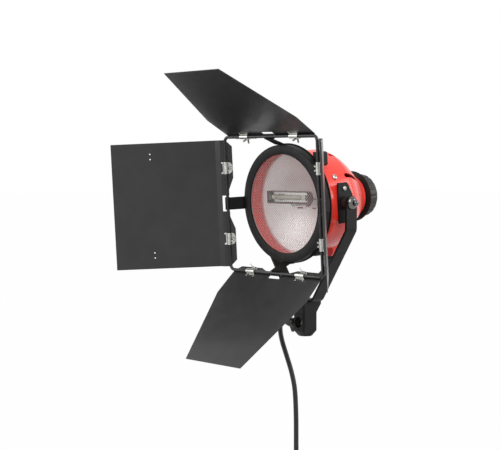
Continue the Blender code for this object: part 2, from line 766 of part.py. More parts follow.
def housing_outside(extra=0.0):
    """(radius, y) points of the housing's outer skin, front to rear."""
    rise_y = HOUSING_REAR_Y - HOUSING_SHOULDER_Y
    rise_r = HOUSING_SHOULDER_RADIUS - HOUSING_REAR_RADIUS
    points = [
        (HOUSING_FRONT_RADIUS - 0.8 * MM + extra, HOUSING_FRONT_Y),
        (HOUSING_FRONT_RADIUS + extra, HOUSING_FRONT_Y + 1 * MM),
        (HOUSING_WAIST_RADIUS + extra, HOUSING_WAIST_Y),
    ]
    for share in (0, 0.2, 0.45, 0.72, 1):
        radius = HOUSING_SHOULDER_RADIUS - rise_r * share**HOUSING_TAPER_POWER
        points.append((radius + extra, HOUSING_SHOULDER_Y + rise_y * share))
    return points


def housing_shell_outline():
    outer = housing_outside()
    ledge = HOUSING_FRONT_RADIUS - HOUSING_WALL - REFLECTOR_LEDGE_DEPTH
    wall = HOUSING_FRONT_RADIUS - HOUSING_WALL
    lip = HOUSING_REAR_RADIUS - HOUSING_REAR_LIP
    inner = [
        (lip, HOUSING_REAR_Y),
        (lip, HOUSING_REAR_Y - HOUSING_WALL),
        (HOUSING_REAR_RADIUS - HOUSING_WALL * 0.6, HOUSING_REAR_Y - HOUSING_WALL),
    ]
    for radius, y in reversed(outer[3:-1]):
        inner.append((radius - HOUSING_WALL, y - HOUSING_WALL * 0.3))
    inner += [
        (HOUSING_WAIST_RADIUS - HOUSING_WALL, HOUSING_WAIST_Y),
        (wall - 1.4 * MM, REFLECTOR_LEDGE_Y + 3 * MM),
        (ledge, REFLECTOR_LEDGE_Y + 2 * MM),
        (ledge, REFLECTOR_LEDGE_Y),
        (wall - 0.5 * MM, REFLECTOR_LEDGE_Y),
        (wall, HOUSING_FRONT_Y),
    ]
    return outer + inner


def housing_radius(y):
    points = housing_outside()
    return float(np.interp(y, [p[1] for p in points], [p[0] for p in points]))


def vent_cutter(angle):
    """A slot with round ends, cut through the wall at one angle round the housing."""
    half = VENT_WIDTH / 2
    front = arc((VENT_FRONT_Y + half, 0), half, 90, 270, 5)
    rear = arc((VENT_REAR_Y - half, 0), half, -90, 90, 5)
    outline = [(p[1], p[0]) for p in front + rear]
    sections = []
    for height in (HOUSING_REAR_RADIUS - 4 * MM, HOUSING_FRONT_RADIUS + 6 * MM):
        sections.append([(x, y, height) for x, y in outline])
    return moved(loft(sections), Matrix.Rotation(math.radians(90 - angle), 4, "Y"))


def make_housing():
    shell = add("housing_shell", turned(housing_shell_outline(), HOUSING_STEPS), RED_PAINT, OPTICS)
    boss_face = PIVOT_PLATE_INNER_X - CLEARANCE
    middle = RING_SETBACK
    boss_y = (middle + PIVOT_PLATE_FRONT + 1.5 * MM, middle + PIVOT_PLATE_REAR - 2 * MM)
    boss_root = HOUSING_WAIST_RADIUS - HOUSING_WALL - 2 * MM
    bosses = []
    for sign in (1, -1):
        x = sorted((sign * boss_root, sign * boss_face))
        bosses.append(box(x, boss_y, (-BOSS_HALF_HEIGHT, BOSS_HALF_HEIGHT)))
    boolean(shell, "UNION", add("housing_bosses", merged(bosses), RED_PAINT, OPTICS))
    vents = merged([vent_cutter(angle) for angle in VENT_ANGLES])
    boolean(shell, "DIFFERENCE", add("vent_slots", vents, RED_PAINT, OPTICS))
    holes = []
    for sign in (1, -1):
        bore = cylinder(PIVOT_BOLT / 2 + CLEARANCE, boss_root - 5 * MM, boss_face + 5 * MM)
        holes.append(moved(bore, Matrix.Translation((0, middle, 0)) @ side_matrix(sign)))
        fixing = cylinder(PLATE_SCREW_SHANK / 2 + CLEARANCE, boss_root - 8 * MM, boss_face + 5 * MM, 12)
        holes.append(moved(fixing, Matrix.Translation((0, middle, PLATE_SCREW_UP)) @ side_matrix(sign)))
        holes.append(moved(cylinder(HOUSING_SCREW_SHANK / 2 + CLEARANCE, 70 * MM, 95 * MM, 12), screw_place(sign)))
    boolean(shell, "DIFFERENCE", add("housing_holes", merged(holes), RED_PAINT, OPTICS))
    for side, sign in (("right", 1), ("left", -1)):
        seat = housing_radius(HOUSING_SCREW_Y) + CLEARANCE + 0.1 * MM
        screw = round_head_screw(seat, HOUSING_SCREW_SHANK, HOUSING_SCREW_HEAD, 7 * MM)
        add(f"housing_screw_{side}", moved(screw, screw_place(sign)), ZINC, OPTICS)


def screw_place(sign):
    """Points +Y outwards at the housing screw's angle, right or left."""
    angle = HOUSING_SCREW_ANGLE if sign > 0 else 180 - HOUSING_SCREW_ANGLE
    lean = Matrix.Rotation(math.radians(-angle), 4, "Y")
    return Matrix.Translation((0, HOUSING_SCREW_Y, 0)) @ lean @ side_matrix(1)


def make_rear_cover():
    seat_y = HOUSING_REAR_Y + CLEARANCE
    apex = REAR_COVER_REAR_Y
    corner = REAR_COVER_CORNER_RADIUS
    outer = [
        (HOUSING_REAR_RADIUS - 1.6 * MM, seat_y),
        (corner, REAR_COVER_CORNER_Y),
        (corner - 1.2 * MM, apex - 1.4 * MM),
        (corner - 2.4 * MM, apex),
    ]
    hole = SPINDLE / 2 + RUNNING_CLEARANCE
    wall = REAR_COVER_WALL
    inner = [(radius - wall * 0.8, y - wall * 0.8) for radius, y in reversed(outer[1:])]
    outline = outer + [(hole, apex), (hole, apex - wall)] + inner
    outline += [(HOUSING_REAR_RADIUS - HOUSING_REAR_LIP - 2.5 * MM, seat_y)]
    add("rear_cover", turned(outline, 28), RED_PAINT, OPTICS)


def make_focus_knob():
    """Shield, fluted knob and spindle at the rear."""
    hole = SPINDLE / 2 + RUNNING_CLEARANCE
    near = REAR_COVER_REAR_Y + CLEARANCE
    sheet = SHIELD_THICKNESS
    shield = [
        (hole, near),
        (26 * MM, near),
        (SHIELD_RADIUS - 0.4 * MM, SHIELD_RIM_Y - 0.6 * MM),
        (SHIELD_RADIUS, SHIELD_RIM_Y),
        (SHIELD_RADIUS - 1.2 * MM, SHIELD_RIM_Y + 0.4 * MM),
        (26 * MM, near + sheet),
        (hole, near + sheet),
    ]
    add("heat_shield", turned(shield, 32), BLACK_PAINT, OPTICS)
    points = KNOB_FLUTES * 3

    def section(y, radius, depth):
        spots = []
        for k in range(points):
            angle = 2 * math.pi * k / points
            reach = radius - depth * (k % 3 == 0)
            spots.append((reach * math.cos(angle), y, reach * math.sin(angle)))
        return spots

    hub_y = near + sheet + CLEARANCE
    low, high, wide = KNOB_FRONT_Y, KNOB_REAR_Y, KNOB_RADIUS
    sections = [
        section(hub_y, 14 * MM, 0),
        section(low, 16 * MM, 0),
        section(low, wide, KNOB_FLUTE_DEPTH),
        section(high - 5 * MM, wide, KNOB_FLUTE_DEPTH),
        section(high - 1.8 * MM, wide - 1.6 * MM, 0.4 * MM),
        section(high, wide - 5.5 * MM, 0),
        section(high - 1.5 * MM, wide - 9 * MM, 0),
    ]
    knob = add("focus_knob", loft(sections), BLACK_PLASTIC, OPTICS)
    socket = cylinder(SPINDLE / 2 + CLEARANCE, hub_y - 5 * MM, high - 8 * MM)
    boolean(knob, "DIFFERENCE", add("knob_socket", socket, BLACK_PLASTIC, OPTICS))
    add("focus_spindle", cylinder(SPINDLE / 2, SPINDLE_TIP_Y, high - 8.5 * MM), ZINC, OPTICS)


def dish_y(radius):
    """Depth of the reflector's front face at a radius."""
    share = radius / REFLECTOR_RIM_RADIUS
    return REFLECTOR_LEDGE_Y - CLEARANCE - REFLECTOR_SHEET + REFLECTOR_DEPTH * (1 - share**2)


def make_reflector():
    flat = 3.8 * MM
    rim = REFLECTOR_RIM_RADIUS
    radii = np.linspace(rim - flat, REFLECTOR_HOLE / 2, 6)
    front = [(rim, dish_y(rim)), *((float(r), dish_y(r + flat)) for r in radii)]
    back = [(r, y + REFLECTOR_SHEET) for r, y in reversed(front)]
    reflector = add("reflector", turned(front + back, REFLECTOR_STEPS), ALUMINIUM, OPTICS)
    slits = []
    half, high = REFLECTOR_SLIT_LENGTH / 2, REFLECTOR_SLIT_HEIGHT / 2
    for x in (-REFLECTOR_SLIT_X, REFLECTOR_SLIT_X):
        for z in REFLECTOR_SLIT_HEIGHTS:
            slits.append(box((x - half, x + half), (35 * MM, 65 * MM), (z - high, z + high)))
    boolean(reflector, "DIFFERENCE", add("reflector_slits", merged(slits), ALUMINIUM, OPTICS))


def make_wire_guard():
    """Square lattice set at 45 degrees, trimmed round, on a pressed rim."""
    half = GUARD_WIRE / 2
    cells = int(2 * GUARD_RIM_OUTER / GUARD_PITCH) + 2
    first = -(cells - 1) / 2 * GUARD_PITCH
    lines = []
    for k in range(cells):
        lines += [first + k * GUARD_PITCH - half, first + k * GUARD_PITCH + half]
    bm = bmesh.new()
    low = GUARD_RIM_FRONT_Y + 0.8 * MM
    grid = [[bm.verts.new((x, low, z)) for z in lines] for x in lines]
    for i in range(len(lines) - 1):
        for j in range(len(lines) - 1):
            if i % 2 == 0 or j % 2 == 0:
                bm.faces.new((grid[i][j], grid[i + 1][j], grid[i + 1][j + 1], grid[i][j + 1]))
    top = bmesh.ops.extrude_face_region(bm, geom=bm.faces[:])
    raised = [v for v in top["geom"] if isinstance(v, bmesh.types.BMVert)]
    bmesh.ops.translate(bm, verts=raised, vec=(0, GUARD_WIRE, 0))
    moved(bm, Matrix.Rotation(math.radians(45), 4, "Y"))
    guard = add("wire_guard", bm, STEEL_WIRE, OPTICS)
    disc = cylinder(GUARD_RIM_INNER + 1 * MM, 0, 30 * MM, 40)
    boolean(guard, "INTERSECT", add("guard_trim", disc, STEEL_WIRE, OPTICS))
    rear = HOUSING_FRONT_Y - CLEARANCE
    rim = [
        (GUARD_RIM_INNER, GUARD_RIM_FRONT_Y),
        (GUARD_RIM_OUTER, GUARD_RIM_FRONT_Y),
        (GUARD_RIM_OUTER, rear),
        (GUARD_RIM_OUTER - 1.5 * MM, rear),
        (GUARD_RIM_OUTER - 1.5 * MM, GUARD_RIM_FRONT_Y + 3 * MM),
        (GUARD_RIM_INNER, GUARD_RIM_FRONT_Y + 3 * MM),
    ]
    boolean(guard, "UNION", add("guard_rim", turned(rim, 40), STEEL_WIRE, OPTICS))


def tray_outline(inset):
    """Lamp tray in (x, z): square corners at the left, a round end at the right."""
    half = TRAY_HEIGHT / 2 - inset
    left = -TRAY_LENGTH / 2 + inset
    centre = TRAY_LENGTH / 2 - TRAY_HEIGHT / 2
    round_end = arc((centre, TRAY_LIFT), half, -90, 90, 8)
    return [(p[0], p[1]) for p in round_end] + [(left, TRAY_LIFT + half), (left, TRAY_LIFT - half)]


def make_lamp_carriage():
    front = TRAY_FRONT_Y
    back = front + TRAY_DEPTH
    bm = bmesh.new()
    rings = []
    for inset, y in ((0, back), (0, front), (TRAY_SHEET, front), (TRAY_SHEET, back - TRAY_SHEET)):
        rings.append([bm.verts.new((x, y, z)) for x, z in tray_outline(inset)])
    skin(bm, rings)
    add("lamp_tray", bm, ALUMINIUM, OPTICS)
    lamp_y = front + (TRAY_DEPTH - TRAY_SHEET) / 2
    tube_radius = min(LAMP_TUBE / 2, TRAY_DEPTH / 2 - TRAY_SHEET)
    half = LAMP_LENGTH / 2
    cap = LAMP_CAP / 2
    shoulder = half - LAMP_CAP_LENGTH
    outline = [
        (0, -half),
        (cap, -half),
        (cap, -shoulder),
        (cap * 0.6, -shoulder),
        (cap * 0.6, 3 * MM - shoulder),
        (tube_radius, 7 * MM - shoulder),
        (tube_radius, shoulder - 7 * MM),
        (cap * 0.6, shoulder - 3 * MM),
        (cap * 0.6, shoulder),
        (cap, shoulder),
        (cap, half),
        (0, half),
    ]
    middle = Matrix.Translation((0, lamp_y - 0.3 * MM, TRAY_LIFT)) @ SIDEWAYS
    add("lamp", moved(turned(outline, 12), middle), QUARTZ, OPTICS)
    for side, sign in (("right", 1), ("left", -1)):
        x = sorted((sign * (half + CLEARANCE), sign * (TRAY_LENGTH / 2 - TRAY_SHEET - 2.6 * MM)))
        y = (front + 1 * MM, back - TRAY_SHEET - CLEARANCE)
        z = (TRAY_LIFT - 4.5 * MM, TRAY_LIFT + 4.5 * MM)
        add(f"lamp_holder_{side}", box(x, y, z), CERAMIC, OPTICS)
    seat = back + CLEARANCE
    edge = CARRIAGE_WIDTH / 2
    low, high = CARRIAGE_LOW, CARRIAGE_HIGH
    plate = prism([(-edge, low), (edge, low), (edge, high), (-edge, high)], seat, seat + CARRIAGE_SHEET)
    carriage = add("lamp_carriage", plate, GALVANISED, OPTICS)
    spindle_bore = SPINDLE / 2 + RUNNING_CLEARANCE
    stem_radius = STEM / 2
    stem = [
        (0, seat + 1 * MM),
        (stem_radius, seat + 1 * MM),
        (stem_radius, STEM_REAR_Y),
        (spindle_bore, STEM_REAR_Y),
        (spindle_bore, SPINDLE_TIP_Y - STEM_BORE_ROOM),
        (0, SPINDLE_TIP_Y - STEM_BORE_ROOM),
    ]
    boolean(carriage, "UNION", add("carriage_stem", turned(stem, 16), GALVANISED, OPTICS))
    half_width = BRIDGE_WIDTH / 2
    wall_line = housing_radius(BRIDGE_Y + BRIDGE_THICKNESS + HOUSING_WALL * 0.3) - HOUSING_WALL
    reach = wall_line - half_width * math.tan(math.pi / HOUSING_STEPS) - CLEARANCE
    bar = box((-reach, reach), (BRIDGE_Y, BRIDGE_Y + BRIDGE_THICKNESS), (-half_width, half_width))
    bridge = add("carriage_bridge", bar, GALVANISED, OPTICS)
    hole = cylinder(stem_radius + RUNNING_CLEARANCE, BRIDGE_Y - 5 * MM, BRIDGE_Y + 10 * MM)
    boolean(bridge, "DIFFERENCE", add("bridge_hole", hole, GALVANISED, OPTICS))


def make_terminal_box():
    half = TERMINAL_WIDTH / 2
    corner = TERMINAL_CORNER
    bottom = -TERMINAL_BOTTOM
    outline = [
        (half, -50 * MM),
        (-half, -50 * MM),
        (-half, bottom + corner),
        (corner - half, bottom),
        (half - corner, bottom),
        (half, bottom + corner),
    ]
    cover = add("terminal_box", prism(outline, TERMINAL_FRONT_Y, TERMINAL_REAR_Y), RED_PAINT, OPTICS)
    skin_line = housing_outside(CLEARANCE + 0.2 * MM)
    core = [(0, HOUSING_FRONT_Y), *skin_line, (0, HOUSING_REAR_Y)]
    boolean(cover, "DIFFERENCE", add("housing_clearance", turned(core, HOUSING_STEPS), RED_PAINT, OPTICS))
    y = (TERMINAL_FRONT_Y + TERMINAL_REAR_Y) / 2
    start = Vector((2 * MM, y, bottom - CLEARANCE))
    points = [start, start + Vector((0, 0, -5 * MM)), start + Vector((-0.6 * MM, 0, -6.4 * MM))]
    lean = Vector((-math.sin(math.radians(40)), 0, -math.cos(math.radians(40))))
    base, tip = GLAND_BASE / 2, GLAND_TIP / 2
    radii = [base, base, base * 0.82]
    for distance, radius in ((3, base * 0.76), (4, tip + 1.2 * MM), (12, tip), (13.5, tip)):
        points.append(points[2] + lean * distance * MM)
        radii.append(radius)
    add("cable_gland", round_sweep(points, radii, 12), RUBBER, OPTICS)
    return OPTICS_TO_WORLD @ (points[-1] + lean * CLEARANCE), OPTICS_TO_WORLD.to_3x3() @ lean


OPTICS_TO_WORLD = (
    Matrix.Translation((0, 0, PIVOT_HEIGHT))
    @ Matrix.Rotation(REST_TILT, 4, "X")
    @ Matrix.Translation((0, -RING_SETBACK, 0))
)


def make_ring():
    lip = RING_LIP
    sheet = RING_SHEET
    outline = [
        (RING_OPENING, lip),
        (RING_OPENING, 1 * MM),
        (RING_OPENING + 1 * MM, 0),
        (RING_RADIUS - 1 * MM, 0),
        (RING_RADIUS, 1 * MM),
        (RING_RADIUS, RING_DEPTH - sheet),
        (RING_FLANGE_RADIUS, RING_DEPTH - sheet),
        (RING_FLANGE_RADIUS, RING_DEPTH),
        (RING_RADIUS - sheet, RING_DEPTH),
        (RING_RADIUS - sheet, sheet),
        (RING_OPENING + sheet, sheet),
        (RING_OPENING + sheet, lip),
    ]
    seam = math.degrees(CLEARANCE / 2 / RING_OPENING)
    for side, start in (("right", -90), ("left", 90)):
        half = turned(outline, RING_STEPS, start + seam, 180 - 2 * seam)
        add(f"ring_half_{side}", half, BLACK_PAINT, BARN_DOOR)


def make_holders():
    """Upright blocks on the housing that trap the ring's rear flange and let it turn."""
    slot_front = RING_DEPTH - RING_SHEET - CLEARANCE
    slot_rear = RING_DEPTH + CLEARANCE
    front = slot_front - 1.6 * MM
    rear = HOLDER_REAR_Y
    flange = RING_FLANGE_RADIUS + CLEARANCE
    wall = RING_RADIUS + CLEARANCE
    room = [
        (0, front - 5 * MM),
        (wall, front - 5 * MM),
        (wall, slot_front),
        (flange, slot_front),
        (flange, slot_rear),
        (housing_radius(slot_rear) + CLEARANCE, slot_rear),
        (housing_radius(rear + 5 * MM) + CLEARANCE, rear + 5 * MM),
        (0, rear + 5 * MM),
    ]
    corner = HOLDER_CORNER
    low, high = HOLDER_LOW, HOLDER_HIGH
    for k, (right, up, inner) in enumerate(HOLDER_PLACES):
        outer = inner + HOLDER_WIDTH
        outline = [
            (inner, low),
            (outer - corner, low),
            (outer, low + corner),
            (outer, high - corner),
            (outer - corner, high),
            (inner, high),
        ]
        sections = [[(right * x, y, up * z) for x, z in outline] for y in (front, rear)]
        name = f"accessory_holder_{k + 1}"
        block = add(name, loft(sections), BLACK_PAINT, OPTICS)
        cutter = add(f"ring_room_{k + 1}", turned(room, 72), BLACK_PAINT, OPTICS)
        boolean(block, "DIFFERENCE", cutter)


def make_rod_frame():
    half, corner = ROD_HALF, ROD_CORNER_RADIUS
    path = []
    for k in range(4):
        quarter = math.radians(90 * k)
        for point in arc((half - corner, half - corner), corner, 0, 90, 5):
            x = point[0] * math.cos(quarter) - point[1] * math.sin(quarter)
            z = point[0] * math.sin(quarter) + point[1] * math.cos(quarter)
            path.append((x, ROD_Y, z))
    tube("rod_frame", path, ROD, 2, BLACK_PAINT, BARN_DOOR, cyclic=True)


def strap_path():
    """Strap in (y, outward): tab along the ring, run to the rod, hook round it."""
    grip = ROD / 2 + CLEARANCE + STRAP_SHEET / 2
    tab = RING_RADIUS + CLEARANCE + STRAP_SHEET / 2
    rod = Vector((ROD_Y, ROD_HALF))
    knee = Vector((-0.6 * MM, tab))
    gap = rod - knee
    reach = math.sqrt(gap.length**2 - grip**2)
    lean = math.atan2(gap[1], gap[0]) + math.asin(grip / gap.length)
    touch = knee + Vector((math.cos(lean), math.sin(lean))) * reach
    first = math.degrees(math.atan2(touch[1] - rod[1], touch[0] - rod[0]))
    hook = arc(rod, grip, first, first + 245, 9)
    return [Vector((STRAP_TAB_END_Y, tab)), knee, *hook]


def make_straps():
    for side, angle in SIDES.items():
        bar = bent_bar(strap_path(), STRAP_SHEET, STRAP_WIDTH / 2)
        # The path's (x, width, z) become (width, y, outward)
        turn = Matrix(((0, 1, 0, 0), (1, 0, 0, 0), (0, 0, 1, 0), (0, 0, 0, 1)))
        add(f"strap_{side}", moved(bar, turn), BLACK_PAINT, BARN_DOOR, rotation=(0, angle, 0))


SIDES = {"top": 0.0, "right": math.pi / 2, "bottom": math.pi, "left": -math.pi / 2}
BARN_DOOR = empty("barn_door_axis", OPTICS)
ROD_FACE = ROD / 2 + CLEARANCE


def leaf_outline(side):
    """Half outline as (along the rod, outwards) points, from the notch to the tip."""
    half = SIDE_LEAF_HALF if side in ("left", "right") else END_LEAF_ROOT_HALF
    points = [
        (LEAF_NOTCH_HALF, LEAF_NOTCH_DEPTH),
        (LEAF_NOTCH_HALF, -LEAF_NOTCH_EDGE),
        (LEAF_NOTCH_SHOULDER, -LEAF_NOTCH_EDGE),
        (LEAF_LOBE_END, -LEAF_LOBE),
        (half - LEAF_LOBE, -LEAF_LOBE),
        (half, 0),
    ]
    if side in ("left", "right"):
        return points + [(half, LEAF_CREASE_NEAR), (half, LEAF_CREASE_FAR), (half, SIDE_LEAF_LENGTH)]
    return points + [(END_LEAF_HALF, END_LEAF_KNEE), (END_LEAF_TIP_HALF, END_LEAF_LENGTH)]


def make_leaf(side, hinge):
    right = leaf_outline(side)
    left = [(-v, d) for v, d in reversed(right)]
    bm = bmesh.new()
    bm.faces.new([bm.verts.new((v, -d, 0)) for v, d in right + left])
    creases = (LEAF_CREASE_NEAR, LEAF_CREASE_FAR) if side in ("left", "right") else ()
    for crease in creases:
        geometry = bm.verts[:] + bm.edges[:] + bm.faces[:]
        bmesh.ops.bisect_plane(bm, geom=geometry, plane_co=(0, -crease, 0), plane_no=(0, 1, 0))
    bmesh.ops.remove_doubles(bm, verts=bm.verts, dist=1e-6)
    for vert in bm.verts:
        vert.co.z = ROD_FACE
        if creases:
            vert.co.z += float(np.interp(-vert.co.y, creases, [0, LEAF_JOGGLE]))
    top = bmesh.ops.extrude_face_region(bm, geom=bm.faces[:])
    raised = [v for v in top["geom"] if isinstance(v, bmesh.types.BMVert)]
    bmesh.ops.translate(bm, verts=raised, vec=(0, 0, LEAF_SHEET))
    leaf = add(f"leaf_{side}", bm, BLACK_PAINT, hinge)
    upright = Matrix.Rotation(math.pi / 2, 4, "X")
    holes = []
    for v in (-CLIP_PLACE, CLIP_PLACE):
        hole = cylinder(WING_SCREW / 2 + CLEARANCE, 0, 20 * MM, 8)
        holes.append(moved(hole, Matrix.Translation((v, WING_SCREW_OUT, 0)) @ upright))
    if side in ("left", "right"):
        for v in EYELET_PLACES:
            for sign in (1, -1):
                hole = cylinder(EYELET / 2, 0, 20 * MM, 8)
                holes.append(moved(hole, Matrix.Translation((sign * v, -EYELET_OUT, 0)) @ upright))
    boolean(leaf, "DIFFERENCE", add(f"leaf_holes_{side}", merged(holes), BLACK_PAINT, hinge))


def clip_shape():
    """Saddle over the rod with a round lobe, in (outward along the leaf, height) and width along the rod."""
    flat = ROD_FACE - CLEARANCE - CLIP_SHEET / 2
    saddle = ROD / 2 + CLEARANCE + CLIP_SHEET / 2
    start = math.degrees(math.asin(flat / saddle)) if flat < saddle else 60
    half = CLIP_WIDTH / 2
    path = [Vector((-CLIP_LOBE, flat)), Vector((-9.2 * MM, flat)), Vector((-7.2 * MM, flat)), Vector((-5 * MM, flat))]
    widths = [half * 0.25, half * 0.55, half * 0.8, half]
    over = arc((0, 0), saddle, 180 - min(start, 40), 360 + min(start, 40), 6)
    path += over
    widths += [half] * len(over)
    path += [Vector((4.2 * MM, flat)), Vector((CLIP_HEEL, flat))]
    widths += [half, half]
    return path, widths


def make_clips(side, hinge):
    path, widths = clip_shape()
    # The path's (outward, width, height) become (along the rod, -outward, height)
    turn = Matrix(((0, 1, 0, 0), (-1, 0, 0, 0), (0, 0, 1, 0), (0, 0, 0, 1)))
    upright = Matrix.Rotation(math.pi / 2, 4, "X")
    for number, v in ((1, -CLIP_PLACE), (2, CLIP_PLACE)):
        name = f"clip_{side}_{number}"
        clip = add(name, moved(bent_bar(path, CLIP_SHEET, widths), turn), ZINC, hinge, (v, 0, 0))
        under = ROD_FACE - CLEARANCE - CLIP_SHEET
        shaft = WING_SCREW / 2
        boss = WING_SCREW * 0.85
        outline = [
            (0, ROD_FACE + LEAF_SHEET + 2.4 * MM),
            (shaft, ROD_FACE + LEAF_SHEET + 2.4 * MM),
            (shaft, under + CLIP_SHEET / 2),
            (boss, under + CLIP_SHEET / 2),
            (boss, under - 2.6 * MM),
            (0, under - 3 * MM),
        ]
        half = WING_SPAN / 2
        ears = [
            (-boss * 0.6, under - 0.6 * MM),
            (-half, under - WING_HEIGHT),
            (-half * 0.55, under - WING_HEIGHT),
            (0, under - 2.4 * MM),
            (half * 0.55, under - WING_HEIGHT),
            (half, under - WING_HEIGHT),
            (boss * 0.6, under - 0.6 * MM),
        ]
        at = Matrix.Translation((v, WING_SCREW_OUT, 0))
        screw = moved(turned(outline, 8, 11), at @ upright)
        boolean(clip, "UNION", add(f"screw_{name}", screw, ZINC, hinge))
        wings = prism(ears, -0.6 * MM, 0.6 * MM)
        wings = moved(wings, at @ Matrix.Rotation(math.radians(35), 4, "Z"))
        boolean(clip, "UNION", add(f"wings_{name}", wings, ZINC, hinge))


def make_barn_door():
    make_ring()
    make_rod_frame()
    make_straps()
    for side, angle in SIDES.items():
        arm = empty(f"side_{side}", BARN_DOOR, rotation=(0, angle, 0))
        opening = math.radians(-LEAF_OPENING[side])
        hinge = empty(f"hinge_{side}", arm, (0, ROD_Y, ROD_HALF), (opening, 0, 0))
        make_leaf(side, hinge)
        make_clips(side, hinge)


def coil_points(centre, y_near):
    """One tube: spirals in on the near layer, steps across, and spirals out on the far layer."""
    layer = CORD + COIL_LAYER_GAP
    turns = 2 * COIL_LAYER_TURNS
    count = int(turns * COIL_POINTS)
    points = [centre + Vector((-COIL_OUTER, y_near, CORD))]
    for i in range(count + 1):
        turn = i / COIL_POINTS
        inward = COIL_LAYER_TURNS - abs(COIL_LAYER_TURNS - turn)
        radius = COIL_OUTER - COIL_PITCH * inward
        climb = min(max((turn - COIL_LAYER_TURNS + 0.25) / 0.5, 0), 1)
        smooth = climb * climb * (3 - 2 * climb)
        angle = math.pi + 2 * math.pi * turn
        spot = Vector((radius * math.cos(angle), y_near + layer * smooth, radius * math.sin(angle)))
        points.append(centre + spot)
    points.append(points[-1] + Vector((0, 0, -COIL_TAIL)))
    return points


def least_self_gap(points, diameter):
    """Smallest distance between turns of a tube, measured on its centre line, less the diameter."""
    fine = []
    for a, b in zip(points, points[1:]):
        fine += [a.lerp(b, t / 6) for t in range(6)]
    spots = np.array(fine)
    apart = np.linalg.norm(spots[:, None] - spots[None], axis=2)
    index = np.arange(len(spots))
    near = np.abs(index[:, None] - index[None]) < 40
    apart[near] = 1
    return float(apart.min() - diameter)


def make_cord(exit_point, exit_lean):
    route = [Vector(p) * MM for p in CORD_ROUTE_MM]
    last = route[-1]
    end = Vector((last.x, last.y, COIL_CENTRE_Z + CORD + CLEARANCE))
    first = exit_point + exit_lean * CORD
    points = np.array([exit_point, *smooth_route(exit_point, [first, *route, end], CORD_STEP)])
    tube("mains_cord", [tuple(p) for p in points], CORD, 2, RUBBER)
    length = float(np.linalg.norm(np.diff(points, axis=0), axis=1).sum())
    centre = Vector((last.x + COIL_OUTER, last.y, COIL_CENTRE_Z))
    coil = coil_points(centre, 0)
    tube("cord_coil", [tuple(p) for p in coil], CORD, 1, RUBBER)
    wound = sum((b - a).length for a, b in zip(coil, coil[1:]))
    print(f"free cord {length:.3f} m, coil {wound:.3f} m, least gap in the coil {least_self_gap(coil, CORD) / MM:.2f} mm")
    make_tie(centre)
    make_plug(coil[-1])


def make_tie(centre):
    """Band round the loops, three o'clock from where the cord comes in."""
    layer = CORD + COIL_LAYER_GAP
    room = CORD / 2 + 0.9 * MM
    inner = COIL_OUTER - COIL_PITCH * COIL_LAYER_TURNS - room
    outer = COIL_OUTER + room
    low = -room
    high = layer + room
    sheet = TIE_SHEET
    bm = bmesh.new()
    rings = []
    for grow in (0, sheet):
        corners = [(inner - grow, low - grow), (outer + grow, low - grow), (outer + grow, high + grow), (inner - grow, high + grow)]
        rings.append(corners)
    half = TIE_WIDTH / 2
    loops = []
    for corners, z in ((rings[0], -half), (rings[1], -half), (rings[1], half), (rings[0], half)):
        loops.append([bm.verts.new((x, y, z)) for x, y in corners])
    skin(bm, loops, closed=True)
    add("cord_tie", bm, RUBBER, location=centre)


def make_plug(start):
    """Moulded two-pin plug hanging from the coil's end."""
    relief = PLUG_RELIEF_LENGTH
    tip = CORD / 2 + 1 * MM
    body = PLUG_BODY / 2
    length = PLUG_BODY_LENGTH
    outline = [
        (0, CLEARANCE),
        (tip, CLEARANCE),
        (tip + 1.5 * MM, relief * 0.7),
        (tip + 2.4 * MM, relief),
        (body * 0.72, relief + 4 * MM),
        (body * 0.95, relief + 12 * MM),
        (body, relief + length - 6 * MM),
        (body * 0.97, relief + length),
        (0, relief + length),
    ]
    hang = Matrix.Translation(start) @ Matrix.Rotation(-math.pi / 2, 4, "X")
    plug = add("mains_plug", moved(turned(outline, 20), hang), RUBBER)
    pins = []
    for sign in (1, -1):
        pin = PLUG_PIN / 2
        base = relief + length
        shape = [(0, base - 1 * MM), (pin, base - 1 * MM), (pin, base + PLUG_PIN_LENGTH - 1.5 * MM), (pin * 0.5, base + PLUG_PIN_LENGTH), (0, base + PLUG_PIN_LENGTH)]
        side = Matrix.Translation((sign * PLUG_PIN_SPACING / 2, 0, 0))
        pins.append(moved(turned(shape, 10), hang @ side))
    boolean(plug, "UNION", add("plug_pins", merged(pins), ZINC))


make_stand_socket()
make_yoke()
make_yoke_bolt()
make_clamp()
make_pivots()
make_housing()
make_rear_cover()
make_focus_knob()
make_reflector()
make_wire_guard()
make_lamp_carriage()
gland_end, gland_lean = make_terminal_box()
make_holders()
make_barn_door()
make_cord(gland_end, gland_lean)
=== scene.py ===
import math

import bmesh
import bpy
import numpy as np
from mathutils import Matrix, Vector


